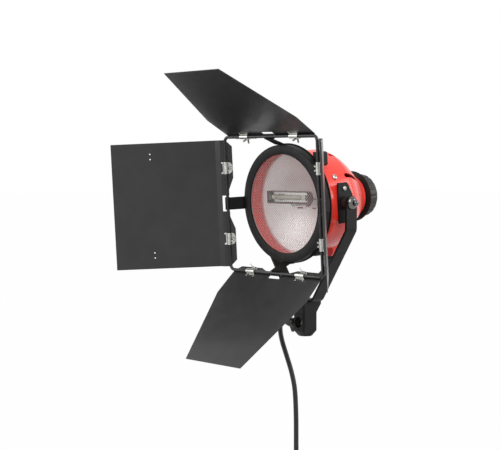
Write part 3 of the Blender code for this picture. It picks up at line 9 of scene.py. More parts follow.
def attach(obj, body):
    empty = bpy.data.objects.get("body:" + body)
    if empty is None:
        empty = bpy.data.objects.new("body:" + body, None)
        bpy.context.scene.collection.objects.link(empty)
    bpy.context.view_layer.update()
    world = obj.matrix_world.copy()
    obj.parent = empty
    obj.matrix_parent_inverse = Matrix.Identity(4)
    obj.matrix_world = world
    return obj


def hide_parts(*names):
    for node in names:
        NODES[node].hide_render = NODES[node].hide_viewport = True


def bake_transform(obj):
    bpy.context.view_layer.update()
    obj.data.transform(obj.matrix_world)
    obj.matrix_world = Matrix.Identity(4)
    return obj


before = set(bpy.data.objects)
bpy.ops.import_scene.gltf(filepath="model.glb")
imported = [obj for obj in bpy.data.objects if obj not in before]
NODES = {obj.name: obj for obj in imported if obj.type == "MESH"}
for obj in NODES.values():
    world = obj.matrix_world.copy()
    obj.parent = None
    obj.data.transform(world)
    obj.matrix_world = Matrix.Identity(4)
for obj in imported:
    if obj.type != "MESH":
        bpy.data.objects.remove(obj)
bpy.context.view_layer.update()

# Sizes are in millimetres, or in metres where they carry MM. Angles are in degrees.
# A size that a solid of the frame has too keeps its name from the part's source.
MM = 0.001
CLEARANCE = 0.3
PIVOT_HEIGHT = 213
REST_TILT = 3.5
RING_SETBACK = 48.5
PIVOT_HOLE_RADIUS = 4.3
SPINDLE_HOLE_RADIUS = 3.3
SIDES = {"top": 0.0, "right": math.pi / 2, "bottom": math.pi, "left": -math.pi / 2}
BOTH_SIDES = (("right", 1), ("left", -1))

PIVOT = Matrix.Translation((0, 0, PIVOT_HEIGHT * MM))
HEAD = PIVOT @ Matrix.Rotation(math.radians(REST_TILT), 4, "X")
OPTICS = HEAD @ Matrix.Translation((0, -RING_SETBACK * MM, 0))
UPRIGHT = Matrix.Rotation(math.pi / 2, 4, "X")
SWAPPED_XY = Matrix(((0, 1, 0, 0), (1, 0, 0, 0), (0, 0, 1, 0), (0, 0, 0, 1)))
QUARTER_TURN = Matrix(((0, 1, 0, 0), (-1, 0, 0, 0), (0, 0, 1, 0), (0, 0, 0, 1)))


def side_on(sign):
    """Turns +Y to the right side (1) or to the left side (-1)."""
    return Matrix.Rotation(-sign * math.pi / 2, 4, "Z")


def shown(name, data):
    made = bpy.data.objects.new(name, data)
    bpy.context.scene.collection.objects.link(made)
    return made


# Camera: the photograph's own view, with the small shift of its crop
CAMERA_AZIMUTH = 47.52
CAMERA_ELEVATION = 1.88
CAMERA_DISTANCE = 2008.64
CAMERA_TARGET = (0, -48.9, 210)
PHOTO_PIXELS = (500, 450)
AXIS_PIXEL = (282.58, 203.98)
FOCAL_PIXELS = 1290.01
SENSOR_WIDTH = 36


def make_camera():
    azimuth, elevation = math.radians(CAMERA_AZIMUTH), math.radians(CAMERA_ELEVATION)
    back = Vector(
        (
            math.sin(azimuth) * math.cos(elevation),
            -math.cos(azimuth) * math.cos(elevation),
            math.sin(elevation),
        )
    )
    width, height = PHOTO_PIXELS
    camera = bpy.data.cameras.new("camera")
    camera.sensor_width = SENSOR_WIDTH
    camera.lens = FOCAL_PIXELS / width * SENSOR_WIDTH
    camera.shift_x = (width / 2 - AXIS_PIXEL[0]) / width
    camera.shift_y = -(height / 2 - AXIS_PIXEL[1]) / width
    made = shown("camera", camera)
    made.location = Vector([v * MM for v in CAMERA_TARGET]) + back * CAMERA_DISTANCE * MM
    made.rotation_mode = "QUATERNION"
    made.rotation_quaternion = (-back).to_track_quat("-Z", "Y")
    bpy.context.scene.camera = made


# Finishes. patch is the scale of the soft patches, grain that of the fine bumps, depth the height
# of the bumps in metres, level the specular level, and coat the weight and gloss of a clear coat.
COATINGS = {
    "powder": dict(
        name="black_powder_coat", dark=(0.006, 0.006, 0.006), light=(0.01, 0.01, 0.0095),
        rough=(0.42, 0.55), level=0.18,
    ),
    "socket": dict(
        name="socket_enamel", dark=(0.005, 0.005, 0.005), light=(0.009, 0.009, 0.009),
        rough=(0.35, 0.5), level=0.18,
    ),
    "leaf": dict(
        name="leaf_powder_coat", dark=(0.025, 0.024, 0.024), light=(0.032, 0.031, 0.031),
        rough=(0.3, 0.38), grain=1700, level=0.28, coat=(0.2, 0.12),
    ),
    "rod": dict(
        name="rod_enamel", dark=(0.012, 0.012, 0.012), light=(0.02, 0.02, 0.02),
        rough=(0.2, 0.32), grain=1200, depth=0.00003, level=0.4,
    ),
    "plastic": dict(
        name="knob_plastic", dark=(0.022, 0.019, 0.016), light=(0.032, 0.028, 0.024),
        rough=(0.4, 0.52), grain=3000, depth=0.00003, level=0.3,
    ),
    "rubber": dict(
        name="cord_rubber", dark=(0.01, 0.01, 0.01), light=(0.018, 0.018, 0.018),
        rough=(0.38, 0.55), grain=1800, depth=0.00005, level=0.35,
    ),
    "zinc": dict(
        name="zinc_plate", dark=(0.4, 0.4, 0.375), light=(0.58, 0.58, 0.555),
        rough=(0.2, 0.34), grain=900, depth=0.00003, metallic=1.0, patch=120,
    ),
    # chrome: its base is darkened as a painted reflection of dark surroundings, which the white
    # room does not give.
    "chrome": dict(
        name="chrome_painted_dark_reflections", dark=(0.1, 0.1, 0.1), light=(0.16, 0.16, 0.155),
        rough=(0.1, 0.18), grain=600, depth=0.00001, metallic=1.0,
    ),
    "galvanised": dict(
        name="galvanised_sheet", dark=(0.35, 0.35, 0.36), light=(0.5, 0.5, 0.5),
        rough=(0.3, 0.45), grain=400, depth=0.00003, metallic=1.0, patch=200,
    ),
    "wire": dict(
        name="guard_wire", dark=(0.56, 0.53, 0.52), light=(0.68, 0.65, 0.64),
        rough=(0.3, 0.4), grain=900, depth=0.00001, metallic=0.5, patch=150,
    ),
    "ceramic": dict(
        name="dark_ceramic", dark=(0.1, 0.09, 0.08), light=(0.15, 0.135, 0.12),
        rough=(0.6, 0.75), grain=1500, depth=0.0001,
    ),
    "steatite": dict(
        name="white_ceramic", dark=(0.72, 0.68, 0.6), light=(0.8, 0.76, 0.68),
        rough=(0.45, 0.6), grain=1500, depth=0.00005,
    ),
    "filament": dict(
        name="tungsten", dark=(0.25, 0.24, 0.22), light=(0.4, 0.38, 0.36),
        rough=(0.35, 0.5), grain=900, depth=0.00002, metallic=1.0,
    ),
    "red": dict(
        name="red_gloss_paint", dark=(0.86, 0.05, 0.034), light=(0.91, 0.06, 0.042),
        rough=(0.22, 0.3), grain=260, patch=20, strength=0.25, level=0.3, coat=(0.12, 0.08),
    ),
    # tray_rim: the dark maroon is painted shade of the gap round the tray, tinted red by the
    # housing's inside.
    "tray_rim": dict(
        name="tray_painted_shade", dark=(0.06, 0.012, 0.016), light=(0.11, 0.022, 0.028),
        rough=(0.4, 0.55), grain=900, depth=0.00003,
    ),
    "plate": dict(
        name="tray_plate_sheet", dark=(0.8, 0.78, 0.76), light=(0.9, 0.88, 0.86),
        rough=(0.3, 0.42), grain=500, depth=0.00002, metallic=0.6, patch=120,
    ),
    "brown": dict(
        name="brown_ceramic", dark=(0.16, 0.11, 0.075), light=(0.3, 0.23, 0.16),
        rough=(0.5, 0.65), grain=1500,
    ),
}
NOISE_LOW, NOISE_HIGH = 0.3, 0.7
GLOSS_SCALE = 3
REFLECTOR_TINTS = ((0.94, 0.92, 0.91), (0.98, 0.97, 0.96))
QUARTZ_TINT = (0.86, 0.8, 0.68, 1)


def nodes_of(name):
    material = bpy.data.materials.new(name)
    material.use_nodes = True
    tree = material.node_tree
    return material, tree, tree.nodes["Principled BSDF"]


def node(tree, kind, inputs, **settings):
    made = tree.nodes.new("ShaderNode" + kind)
    for key, value in settings.items():
        setattr(made, key, value)
    for key, value in inputs.items():
        if isinstance(value, bpy.types.NodeSocket):
            tree.links.new(value, made.inputs[key])
        else:
            made.inputs[key].default_value = value
    return made


def place(tree):
    return tree.nodes.new("ShaderNodeTexCoord").outputs["Object"]


def noise(tree, scale, detail):
    inputs = {"Vector": place(tree), "Scale": scale, "Detail": detail, "Roughness": 0.5}
    return node(tree, "TexNoise", inputs).outputs["Fac"]


def spread(tree, value, low, high):
    """Stretches a noise's usual values over a range."""
    inputs = {"Value": value, "From Min": NOISE_LOW, "From Max": NOISE_HIGH}
    inputs.update({"To Min": low, "To Max": high})
    return node(tree, "MapRange", inputs).outputs[0]


def tint(tree, factor, first, second):
    mix = tree.nodes.new("ShaderNodeMix")
    mix.data_type = "RGBA"
    tree.links.new(factor, mix.inputs["Factor"])
    colours = [socket for socket in mix.inputs if socket.type == "RGBA"]
    for socket, value in zip(colours, (first, second)):
        socket.default_value = (*value, 1)
    return [socket for socket in mix.outputs if socket.type == "RGBA"][0]


def bump(tree, shader, height, strength, distance):
    made = node(tree, "Bump", {"Height": height, "Strength": strength, "Distance": distance})
    tree.links.new(made.outputs[0], shader.inputs["Normal"])


def coated(
    name, dark, light, rough, grain=2200.0, depth=0.00006, metallic=0.0,
    patch=35.0, strength=0.5, level=0.5, coat=None,
):
    """Two close tints in soft patches, uneven gloss and a fine grain."""
    material, tree, shader = nodes_of(name)
    patches = spread(tree, noise(tree, patch, 4), 0, 1)
    tree.links.new(tint(tree, patches, dark, light), shader.inputs["Base Color"])
    gloss = spread(tree, noise(tree, patch * GLOSS_SCALE, 5), *rough)
    tree.links.new(gloss, shader.inputs["Roughness"])
    shader.inputs["Metallic"].default_value = metallic
    shader.inputs["Specular IOR Level"].default_value = level
    if coat:
        shader.inputs["Coat Weight"].default_value = coat[0]
        shader.inputs["Coat Roughness"].default_value = coat[1]
    bump(tree, shader, noise(tree, grain, 2), strength, depth)
    return material


def pebbled_reflector():
    material, tree, shader = nodes_of("pebbled_reflector")
    inputs = {"Vector": place(tree), "Scale": 620.0, "Randomness": 0.9}
    pebbles = node(tree, "TexVoronoi", inputs).outputs["Distance"]
    patches = spread(tree, noise(tree, 28, 4), 0, 1)
    tree.links.new(tint(tree, patches, *REFLECTOR_TINTS), shader.inputs["Base Color"])
    tree.links.new(spread(tree, noise(tree, 300, 3), 0.36, 0.5), shader.inputs["Roughness"])
    shader.inputs["Metallic"].default_value = 0.62
    bump(tree, shader, pebbles, 0.55, 0.0006)
    return material


def quartz_glass():
    material, tree, shader = nodes_of("quartz_glass")
    shader.inputs["Base Color"].default_value = QUARTZ_TINT
    shader.inputs["Transmission Weight"].default_value = 0.45
    shader.inputs["IOR"].default_value = 1.46
    tree.links.new(spread(tree, noise(tree, 160, 3), 0.02, 0.12), shader.inputs["Roughness"])
    return material


def make_looks():
    looks = {key: coated(**values) for key, values in COATINGS.items()}
    looks["reflector"] = pebbled_reflector()
    looks["quartz"] = quartz_glass()
    return looks


# Mesh helpers. A mesh is built in metres, from profiles and paths in millimetres.
SMOOTH_ANGLE = 35
BORE_STEPS = 48


def smooth(mesh, angle=SMOOTH_ANGLE):
    mesh.shade_smooth()
    mesh.set_sharp_from_angle(angle=math.radians(angle))


def shifted(bm, matrix):
    bmesh.ops.transform(bm, matrix=matrix, verts=bm.verts)
    return bm


def finish_mesh(bm, name, material, at=None, angle=SMOOTH_ANGLE):
    if at is not None:
        shifted(bm, at)
    bmesh.ops.recalc_face_normals(bm, faces=bm.faces)
    mesh = bpy.data.meshes.new(name)
    bm.to_mesh(mesh)
    bm.free()
    smooth(mesh, angle)
    mesh.materials.append(material)
    return shown(name, mesh)


def bevel(piece, width, segments=2, angle=50):
    made = piece.modifiers.new("edges", "BEVEL")
    made.width = width * MM
    made.segments = segments
    made.limit_method = "ANGLE"
    made.angle_limit = math.radians(angle)
    made.harden_normals = False
    return piece


def carve(piece, bm, operation="DIFFERENCE", at=None):
    """Cuts a mesh out of a piece, or joins it to the piece, and leaves no modifier."""
    cutter = finish_mesh(bm, "cutter", piece.data.materials[0], at)
    made = piece.modifiers.new("carve", "BOOLEAN")
    made.operation = operation
    made.solver = "EXACT"
    made.object = cutter
    bpy.context.view_layer.update()
    graph = bpy.context.evaluated_depsgraph_get()
    mesh = bpy.data.meshes.new_from_object(piece.evaluated_get(graph))
    old = piece.data
    piece.modifiers.clear()
    piece.data = mesh
    bpy.data.meshes.remove(old)
    smooth(mesh)
    bpy.data.objects.remove(cutter, do_unlink=True)


def rides(piece, body, *stands_for, slot=None):
    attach(piece, body)
    if stands_for:
        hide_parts(*stands_for)


def skin(bm, rings, closed=False):
    """Joins rings of vertices by faces, in a loop or with a face at each end."""
    count = len(rings[0])
    following = rings[1:] + rings[:1] if closed else rings[1:]
    for first, second in zip(rings, following):
        for i in range(count):
            j = (i + 1) % count
            unique = list(dict.fromkeys([first[i], first[j], second[j], second[i]]))
            if len(unique) > 2:
                bm.faces.new(unique)
    if not closed:
        bm.faces.new(rings[0])
        bm.faces.new(rings[-1])


def turned(outline, steps, start=0.0, sweep=360.0):
    """Turns a closed outline of (radius, y) about the Y axis."""
    bm = bmesh.new()
    outline = [(r * MM, y * MM) for r, y in outline]
    whole = abs(sweep - 360) < 1e-6
    poles = {y: bm.verts.new((0, y, 0)) for r, y in outline if r == 0}
    rings = []
    for i in range(steps if whole else steps + 1):
        angle = math.radians(start + sweep * i / steps)
        ring = []
        for r, y in outline:
            corner = (r * math.cos(angle), y, r * math.sin(angle))
            ring.append(poles[y] if r == 0 else bm.verts.new(corner))
        rings.append(ring)
    skin(bm, rings, closed=whole)
    return bm


def loft(sections):
    bm = bmesh.new()
    skin(bm, [[bm.verts.new(point) for point in section] for section in sections])
    return bm


def prism(outline, low, high):
    """Extrudes an outline of (x, z) along Y."""
    return loft([[(x * MM, y * MM, z * MM) for x, z in outline] for y in (low, high)])


def rectangle(first, second):
    (a, b), (c, d) = first, second
    return [(a, c), (b, c), (b, d), (a, d)]


def rod_y(radius, low, high):
    return turned(rectangle((0, radius), (low, high)), BORE_STEPS)


def joined(*parts):
    whole = bmesh.new()
    for part in parts:
        mesh = bpy.data.meshes.new("passing")
        bmesh.ops.recalc_face_normals(part, faces=part.faces)
        part.to_mesh(mesh)
        part.free()
        whole.from_mesh(mesh)
        bpy.data.meshes.remove(mesh)
    return whole


def arc(centre, radius, first, last, steps):
    angles = [math.radians(first + (last - first) * i / steps) for i in range(steps + 1)]
    x, y = centre[0], centre[1]
    return [Vector((x + radius * math.cos(a), y + radius * math.sin(a))) for a in angles]


def filleted(outline, radius, steps=4, closed=True, only=None):
    """Rounds the corners of a 2D outline, all or only the numbered ones."""
    points = [Vector(p) for p in outline]
    made = []
    count = len(points)
    for i, corner in enumerate(points):
        if (not closed and i in (0, count - 1)) or (only is not None and i not in only):
            made.append(corner)
            continue
        back = points[i - 1] - corner
        ahead = points[(i + 1) % count] - corner
        half = back.angle(ahead) / 2
        trim = min(radius / math.tan(half), 0.45 * back.length, 0.45 * ahead.length)
        used = trim * math.tan(half)
        back, ahead = back.normalized(), ahead.normalized()
        if abs(half - math.pi / 2) < 0.02 or (back + ahead).length < 1e-6:
            made.append(corner)
            continue
        centre = corner + (back + ahead).normalized() * used / math.sin(half)
        first = corner + back * trim - centre
        turn = first.angle_signed(corner + ahead * trim - centre)
        made += [centre + Matrix.Rotation(-turn * k / steps, 2) @ first for k in range(steps + 1)]
    return made


def bent_bar(path, thickness, half_widths):
    """A flat bar bent along a path of (x, z), with its width along Y."""
    sections = []
    last = len(path) - 1
    for i, point in enumerate(path):
        back = (point - path[max(i - 1, 0)]).normalized()
        ahead = (path[min(i + 1, last)] - point).normalized()
        along = (back + ahead).normalized()
        across = Vector((-along[1], along[0])) * thickness / 2
        half = half_widths[i] if isinstance(half_widths, list) else half_widths
        a, b = point - across, point + across
        corners = [(a, -half), (b, -half), (b, half), (a, half)]
        sections.append([Vector((p[0], y, p[1])) * MM for p, y in corners])
    return loft(sections)


def tube_mesh(points, radius, sides):
    points = [Vector(p) for p in points]
    last = len(points) - 1
    angles = [2 * math.pi * k / sides for k in range(sides)]
    across = Vector((0, 1, 0))
    sections = []
    for i, point in enumerate(points):
        along = (points[min(i + 1, last)] - points[max(i - 1, 0)]).normalized()
        across = (across - along * across.dot(along)).normalized()
        side = along.cross(across)
        section = [point + (across * math.cos(a) + side * math.sin(a)) * radius for a in angles]
        sections.append(section)
    return loft(sections)


def knob_mesh(sections, lobes, per_lobe, dip):
    """Lofts rings of (y, radius, depth), whose radius dips by that depth once for each lobe."""
    rings = []
    for y, radius, depth in sections:
        ring = []
        for k in range(lobes * per_lobe):
            angle = 2 * math.pi * k / (lobes * per_lobe)
            reach = (radius - depth * dip(lobes * angle)) * MM
            ring.append((reach * math.cos(angle), y * MM, reach * math.sin(angle)))
        rings.append(ring)
    return loft(rings)


# The mains cord and what is on it
CORD_ROUTE = (
    (-30, 56, 87),
    (-58, 54, 66),
    (-88, 51, 44),
    (-107, 48, 20),
    (-109, 45.5, -3),
    (-101.5, 43, -23),
    (-90, 42, -45),
    (-77.4, 42, -72.3),
    (-69.5, 42, -100),
    (-66.5, 42, -140),
    (-66, 42, -190),
    (-66, 42, -240),
)
CORD = 8 * MM
CORD_DRAWN_SHARE = 0.995
CORD_SIDES = 14
CORD_STEP = 9 * MM
CURVE_STEPS = 40
GLAND_START = (2, 99, -91.3)
GLAND_BEND = (-0.6, 0, -6.4)
GLAND_LEAN = 40
GLAND_LENGTH = 13.5
COIL_Z = -282 * MM
COIL_OUTER = 62 * MM
COIL_PITCH = 8.7 * MM
COIL_LAYER = 8.7 * MM
COIL_LAYER_TURNS = 3.5
COIL_CLIMB_TURNS = 0.5
COIL_TAIL = 30 * MM
COIL_TURN_STEPS = 48
PLUG_RELIEF_LENGTH = 26
PLUG_BODY_LENGTH = 34
PLUG_RIBS = 6
PLUG_RIB_PITCH = 3.6
PLUG_RIB_GROWTH = 0.35
PLUG_PIN_X = 9.5
PLUG_PIN = [(0, 59), (2.4, 59), (2.4, 77), (2.1, 78.4), (1.2, 79), (0, 79)]


def gland_exit():
    """Where the cord leaves the gland, and which way."""
    angle = math.radians(GLAND_LEAN)
    lean = Vector((-math.sin(angle), 0, -math.cos(angle)))
    root = Vector(GLAND_START) * MM + Vector(GLAND_BEND) * MM
    tip = root + lean * (GLAND_LENGTH + CLEARANCE) * MM
    return OPTICS @ tip, OPTICS.to_3x3() @ lean


def smooth_route(before, points, step):
    """Points at even steps on a smooth curve through the given ones."""
    points = [np.array(p) for p in points]
    padded = [np.array(before), *points, 2 * points[-1] - points[-2]]
    fine = []
    for a, b, c, d in zip(padded, padded[1:], padded[2:], padded[3:]):
        for t in np.linspace(0, 1, CURVE_STEPS, endpoint=False):
            bend = 2 * a - 5 * b + 4 * c - d
            cubic = 3 * b - a - 3 * c + d
            fine.append(0.5 * (2 * b + (c - a) * t + bend * t**2 + cubic * t**3))
    fine = np.array([*fine, points[-1]])
    lengths = np.concatenate([[0], np.cumsum(np.linalg.norm(np.diff(fine, axis=0), axis=1))])
    wanted = np.linspace(0, lengths[-1], int(lengths[-1] / step) + 2)
    return np.stack([np.interp(wanted, lengths, fine[:, k]) for k in range(3)], axis=1)


def coil_points(centre):
    """Two flat layers, wound inwards and then outwards again."""
    points = [centre + Vector((-COIL_OUTER, 0, CORD))]
    for i in range(int(2 * COIL_LAYER_TURNS * COIL_TURN_STEPS) + 1):
        turn = i / COIL_TURN_STEPS
        inward = COIL_LAYER_TURNS - abs(COIL_LAYER_TURNS - turn)
        radius = COIL_OUTER - COIL_PITCH * inward
        climb = (turn - COIL_LAYER_TURNS + COIL_CLIMB_TURNS / 2) / COIL_CLIMB_TURNS
        climb = min(max(climb, 0), 1)
        angle = math.pi + 2 * math.pi * turn
        lift = COIL_LAYER * climb * climb * (3 - 2 * climb)
        points.append(centre + Vector((radius * math.cos(angle), lift, radius * math.sin(angle))))
    return points


def plug_outline():
    """Ribbed strain relief and moulded body."""
    outline = [(0, 0.3), (5, 0.3)]
    for k in range(PLUG_RIBS):
        y, grown = 3 + k * PLUG_RIB_PITCH, k * PLUG_RIB_GROWTH
        outline += [(5.2 + grown, y), (5.6 + grown, y + 0.5)]
        outline += [(5.6 + grown, y + 1.9), (5.0 + grown, y + 2.4)]
    front = PLUG_RELIEF_LENGTH
    outline += [(7.4, front), (13, front + 4), (15.4, front + 8), (17.1, front + 13)]
    end = front + PLUG_BODY_LENGTH
    outline += [(17.7, front + 20), (18, end - 4), (17.8, end - 0.8), (17, end), (0, end)]
    return outline


def make_cord(look):
    start, lean = gland_exit()
    route = [Vector(p) * MM for p in CORD_ROUTE]
    last = route[-1]
    end = Vector((last.x, last.y, COIL_Z + CORD + CLEARANCE * MM))
    free = smooth_route(start, [start + lean * CORD, *route, end], CORD_STEP)
    coil = coil_points(Vector((last.x + COIL_OUTER, last.y, COIL_Z)))
    tail_end = coil[-1] + Vector((0, 0, -COIL_TAIL))
    tail = [coil[-1].lerp(tail_end, k / 3) for k in (1, 2, 3)]
    path = [start, *[Vector(p) for p in free], *coil[1:], *tail]
    tube = tube_mesh(path, CORD / 2 * CORD_DRAWN_SHARE, CORD_SIDES)
    cord = finish_mesh(tube, "mains_cord_rubber", look["rubber"])
    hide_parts("mains_cord", "cord_coil")
    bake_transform(cord)

    hang = Matrix.Translation(tail_end) @ Matrix.Rotation(-math.pi / 2, 4, "X")
    plug = finish_mesh(turned(plug_outline(), 48), "mains_plug_moulding", look["rubber"], hang)
    pins = []
    for sign in (1, -1):
        aside = Matrix.Translation((sign * PLUG_PIN_X * MM, 0, 0))
        pins.append(shifted(turned(PLUG_PIN, 24), aside))
    prongs = finish_mesh(joined(*pins), "mains_plug_pins", look["zinc"], hang)
    rides(plug, "base", "mains_plug", slot="rubber")
    rides(prongs, "base", slot="zinc")


# Housing, rear cover and heat shield
HOUSING_FRONT = [(85.0, 6.5), (85.6, 6.8), (85.8, 7.5), (80.8, 60.4)]
HOUSING_SHOULDER_RADIUS, HOUSING_SHOULDER_Y = 81, 74
HOUSING_REAR_RADIUS, HOUSING_REAR_Y = 60, 112
HOUSING_TAPER_POWER = 1.35
HOUSING_TAPER_STEPS = 14
HOUSING_WALL = 2.4
HOUSING_WALL_SETBACK = 0.7
HOUSING_REAR_LIP = [(53, 112), (53, 109.6), (58.5, 109.6)]
HOUSING_INSIDE = [(78.4, 60.4), (82.0, 32.3)]
HOUSING_LEDGE = [(79.9, 31.3), (79.9, 29.3), (82.9, 29.3), (83.4, 6.5)]
HOUSING_STEPS = 144
BOSS_X = (76.4, 84.7)
BOSS_Y = (37, 63.5)
BOSS_HALF_HEIGHT = 28
BOSS_CORNER = 3
VENT_FRONT_Y = 68
VENT_REAR_Y = 110
VENT_WIDTH = 7.5
VENT_ANGLES = (30, 63, 117, 150, -30, -150)
VENT_CUT = (56, 92)
REAR_COVER_SEAT_Y = 112.3
REAR_COVER_REAR_Y = 151
REAR_COVER_SHEET = 1.6
REAR_COVER_CONE = [
    (55.3, 117.6), (51.8, 123), (47.9, 128.6), (43.8, 134.2), (39.9, 139.3), (37.3, 142.6),
    (36.1, 144.9), (35.3, 148.2), (34.7, 149.9), (33.9, 150.8), (32.8, 151),
]
SHIELD_THICKNESS = 1.6
SHIELD_FLAT_RADIUS = 26
SHIELD_RIM = [(40.5, 155.3), (41, 155.8), (40.8, 156.3), (39.8, 156.4)]


def outer_skin():
    """The shell's outer profile, from its front rim to its rear edge."""
    points = list(HOUSING_FRONT)
    for k in range(HOUSING_TAPER_STEPS + 1):
        share = k / HOUSING_TAPER_STEPS
        fall = (HOUSING_SHOULDER_RADIUS - HOUSING_REAR_RADIUS) * share**HOUSING_TAPER_POWER
        y = HOUSING_SHOULDER_Y + (HOUSING_REAR_Y - HOUSING_SHOULDER_Y) * share
        points.append((HOUSING_SHOULDER_RADIUS - fall, y))
    return points


def skin_radius(y):
    points = outer_skin()
    return float(np.interp(y, [p[1] for p in points], [p[0] for p in points]))


def slot_cutter(angle):
    half = VENT_WIDTH / 2
    ends = arc((VENT_FRONT_Y + half, 0), half, 90, 270, 12)
    ends += arc((VENT_REAR_Y - half, 0), half, -90, 90, 12)
    sections = [[(p[1] * MM, p[0] * MM, h * MM) for p in ends] for h in VENT_CUT]
    return shifted(loft(sections), Matrix.Rotation(math.radians(90 - angle), 4, "Y"))


def boss(sign):
    """Flat pad on the shell's side, under the pivot plate."""
    outline = filleted(rectangle(BOSS_Y, (-BOSS_HALF_HEIGHT, BOSS_HALF_HEIGHT)), BOSS_CORNER)
    places = sorted(sign * x for x in BOSS_X)
    return loft([[(x * MM, p[0] * MM, p[1] * MM) for p in outline] for x in places])


def make_housing(look):
    outer = outer_skin()
    rear_wall = reversed(outer[len(HOUSING_FRONT):-1])
    inner = HOUSING_REAR_LIP + [(r - HOUSING_WALL, y - HOUSING_WALL_SETBACK) for r, y in rear_wall]
    inner += HOUSING_INSIDE + HOUSING_LEDGE
    shell = finish_mesh(turned(outer + inner, HOUSING_STEPS), "housing_casting", look["red"])
    carve(shell, joined(boss(1), boss(-1)), "UNION")
    carve(shell, joined(*[slot_cutter(a) for a in VENT_ANGLES]))
    bores = []
    for sign in (1, -1):
        aside = Matrix.Translation((0, RING_SETBACK * MM, 0)) @ side_on(sign)
        bores.append(shifted(rod_y(PIVOT_HOLE_RADIUS, 70, 90), aside))
    carve(shell, joined(*bores))
    shell.data.transform(OPTICS)
    rides(bevel(shell, 0.35), "head", "housing_shell", slot="red_paint")


def make_rear(look):
    seat, rear = REAR_COVER_SEAT_Y, REAR_COVER_REAR_Y
    outline = [(58.4, seat), (58.3, seat + 0.8)] + REAR_COVER_CONE
    hidden = [(r - REAR_COVER_SHEET, y - REAR_COVER_SHEET) for r, y in reversed(outline[2:])]
    outline += [(SPINDLE_HOLE_RADIUS, rear), (SPINDLE_HOLE_RADIUS, rear - 2)]
    outline += hidden + [(50.5, seat)]
    cover = finish_mesh(turned(outline, 128), "rear_cover_cap", look["red"], OPTICS)
    rides(cover, "head", "rear_cover", slot="red_paint")

    near = rear + CLEARANCE
    far = near + SHIELD_THICKNESS
    outline = [(SPINDLE_HOLE_RADIUS, near), (SHIELD_FLAT_RADIUS, near)] + SHIELD_RIM
    outline += [(SHIELD_FLAT_RADIUS, far), (SPINDLE_HOLE_RADIUS, far)]
    disc = finish_mesh(turned(outline, 128), "heat_shield_disc", look["powder"], OPTICS)
    rides(disc, "head", "heat_shield", slot="black_paint")


# Focus knob
KNOB_HUB_Y = 153.2
KNOB_FRONT_Y = 158.0
KNOB_REAR_Y = 181.0
KNOB_RADIUS = 35.0
KNOB_FLUTES = 18
KNOB_FLUTE_DEPTH = 1.3
KNOB_FLUTE_STEPS = 10
FLUTE_EDGE = 0.35


def flute_dip(angle):
    return (max(0.0, math.cos(angle) - FLUTE_EDGE) / (1 - FLUTE_EDGE)) ** 1.5


def make_focus_knob(look):
    front, rear, wide, deep = KNOB_FRONT_Y, KNOB_REAR_Y, KNOB_RADIUS, KNOB_FLUTE_DEPTH
    sections = [
        (KNOB_HUB_Y, 14, 0),
        (front - 0.2, 16, 0),
        (front, wide - 1.0, 0.6),
        (front + 0.8, wide, deep),
        (rear - 6, wide - 0.3, deep),
        (rear - 3, wide - 0.9, deep * 0.7),
        (rear - 1.2, wide - 2.4, 0.3),
        (rear - 0.3, wide - 4.2, 0),
        (rear, wide - 6, 0),
        (rear - 0.4, wide - 7.6, 0),
        (rear - 1.5, wide - 9, 0),
        (rear - 1.7, wide - 20, 0),
    ]
    body = knob_mesh(sections, KNOB_FLUTES, KNOB_FLUTE_STEPS, flute_dip)
    knob = finish_mesh(body, "focus_knob_moulding", look["plastic"], OPTICS, 40)
    rides(knob, "focus", "focus_knob", slot="black_plastic")


# Reflector and guard. The visible guard is woven finer than the one of the solids.
REFLECTOR_RIM_RADIUS = 82
REFLECTOR_RIM_Y = 28.0
REFLECTOR_DEPTH = 26
REFLECTOR_SHEET = 0.95
REFLECTOR_RIM = [(82, 28), (81.4, 27.95), (78.6, 28.05)]
REFLECTOR_RIM_WIDTH = 3.8
REFLECTOR_DISH_RADII = (77.6, 9)
REFLECTOR_DISH_STEPS = 30
REFLECTOR_SLIT_X = 16
REFLECTOR_SLIT_HEIGHTS = (-10.9, 3.9)
REFLECTOR_SLIT_HALF_LENGTH = 5.5
REFLECTOR_SLIT_HALF_HEIGHT = 1.1
REFLECTOR_SLIT_CORNER = 0.9
REFLECTOR_SLIT_CUT = (35, 65)
GUARD_RIM = [
    (79.4, 3.0), (79.7, 2.7), (84.1, 2.7), (84.4, 3.0),
    (84.4, 6.2), (82.9, 6.2), (82.9, 5.7), (79.4, 5.7),
]
WEAVE_PITCH = 3.2
WEAVE_WIRE_RADIUS = 0.26
WEAVE_REACH = 80.6
WEAVE_Y = 4.2
WEAVE_WAVE = 0.24


def dish_y(radius):
    return REFLECTOR_RIM_Y + REFLECTOR_DEPTH * (1 - (radius / REFLECTOR_RIM_RADIUS) ** 2)


def make_reflector(look):
    front = list(REFLECTOR_RIM)
    for r in np.linspace(*REFLECTOR_DISH_RADII, REFLECTOR_DISH_STEPS):
        front.append((float(r), dish_y(float(r) + REFLECTOR_RIM_WIDTH)))
    back = [(r, y + REFLECTOR_SHEET) for r, y in reversed(front)]
    dish = finish_mesh(turned(front + back, 144), "reflector_dish", look["reflector"])
    slits = []
    for x in (-REFLECTOR_SLIT_X, REFLECTOR_SLIT_X):
        for z in REFLECTOR_SLIT_HEIGHTS:
            wide = (x - REFLECTOR_SLIT_HALF_LENGTH, x + REFLECTOR_SLIT_HALF_LENGTH)
            high = (z - REFLECTOR_SLIT_HALF_HEIGHT, z + REFLECTOR_SLIT_HALF_HEIGHT)
            outline = filleted(rectangle(wide, high), REFLECTOR_SLIT_CORNER)
            slits.append(prism(outline, *REFLECTOR_SLIT_CUT))
    carve(dish, joined(*slits))
    dish.data.transform(OPTICS)
    rides(dish, "head", "reflector", slot="aluminium")


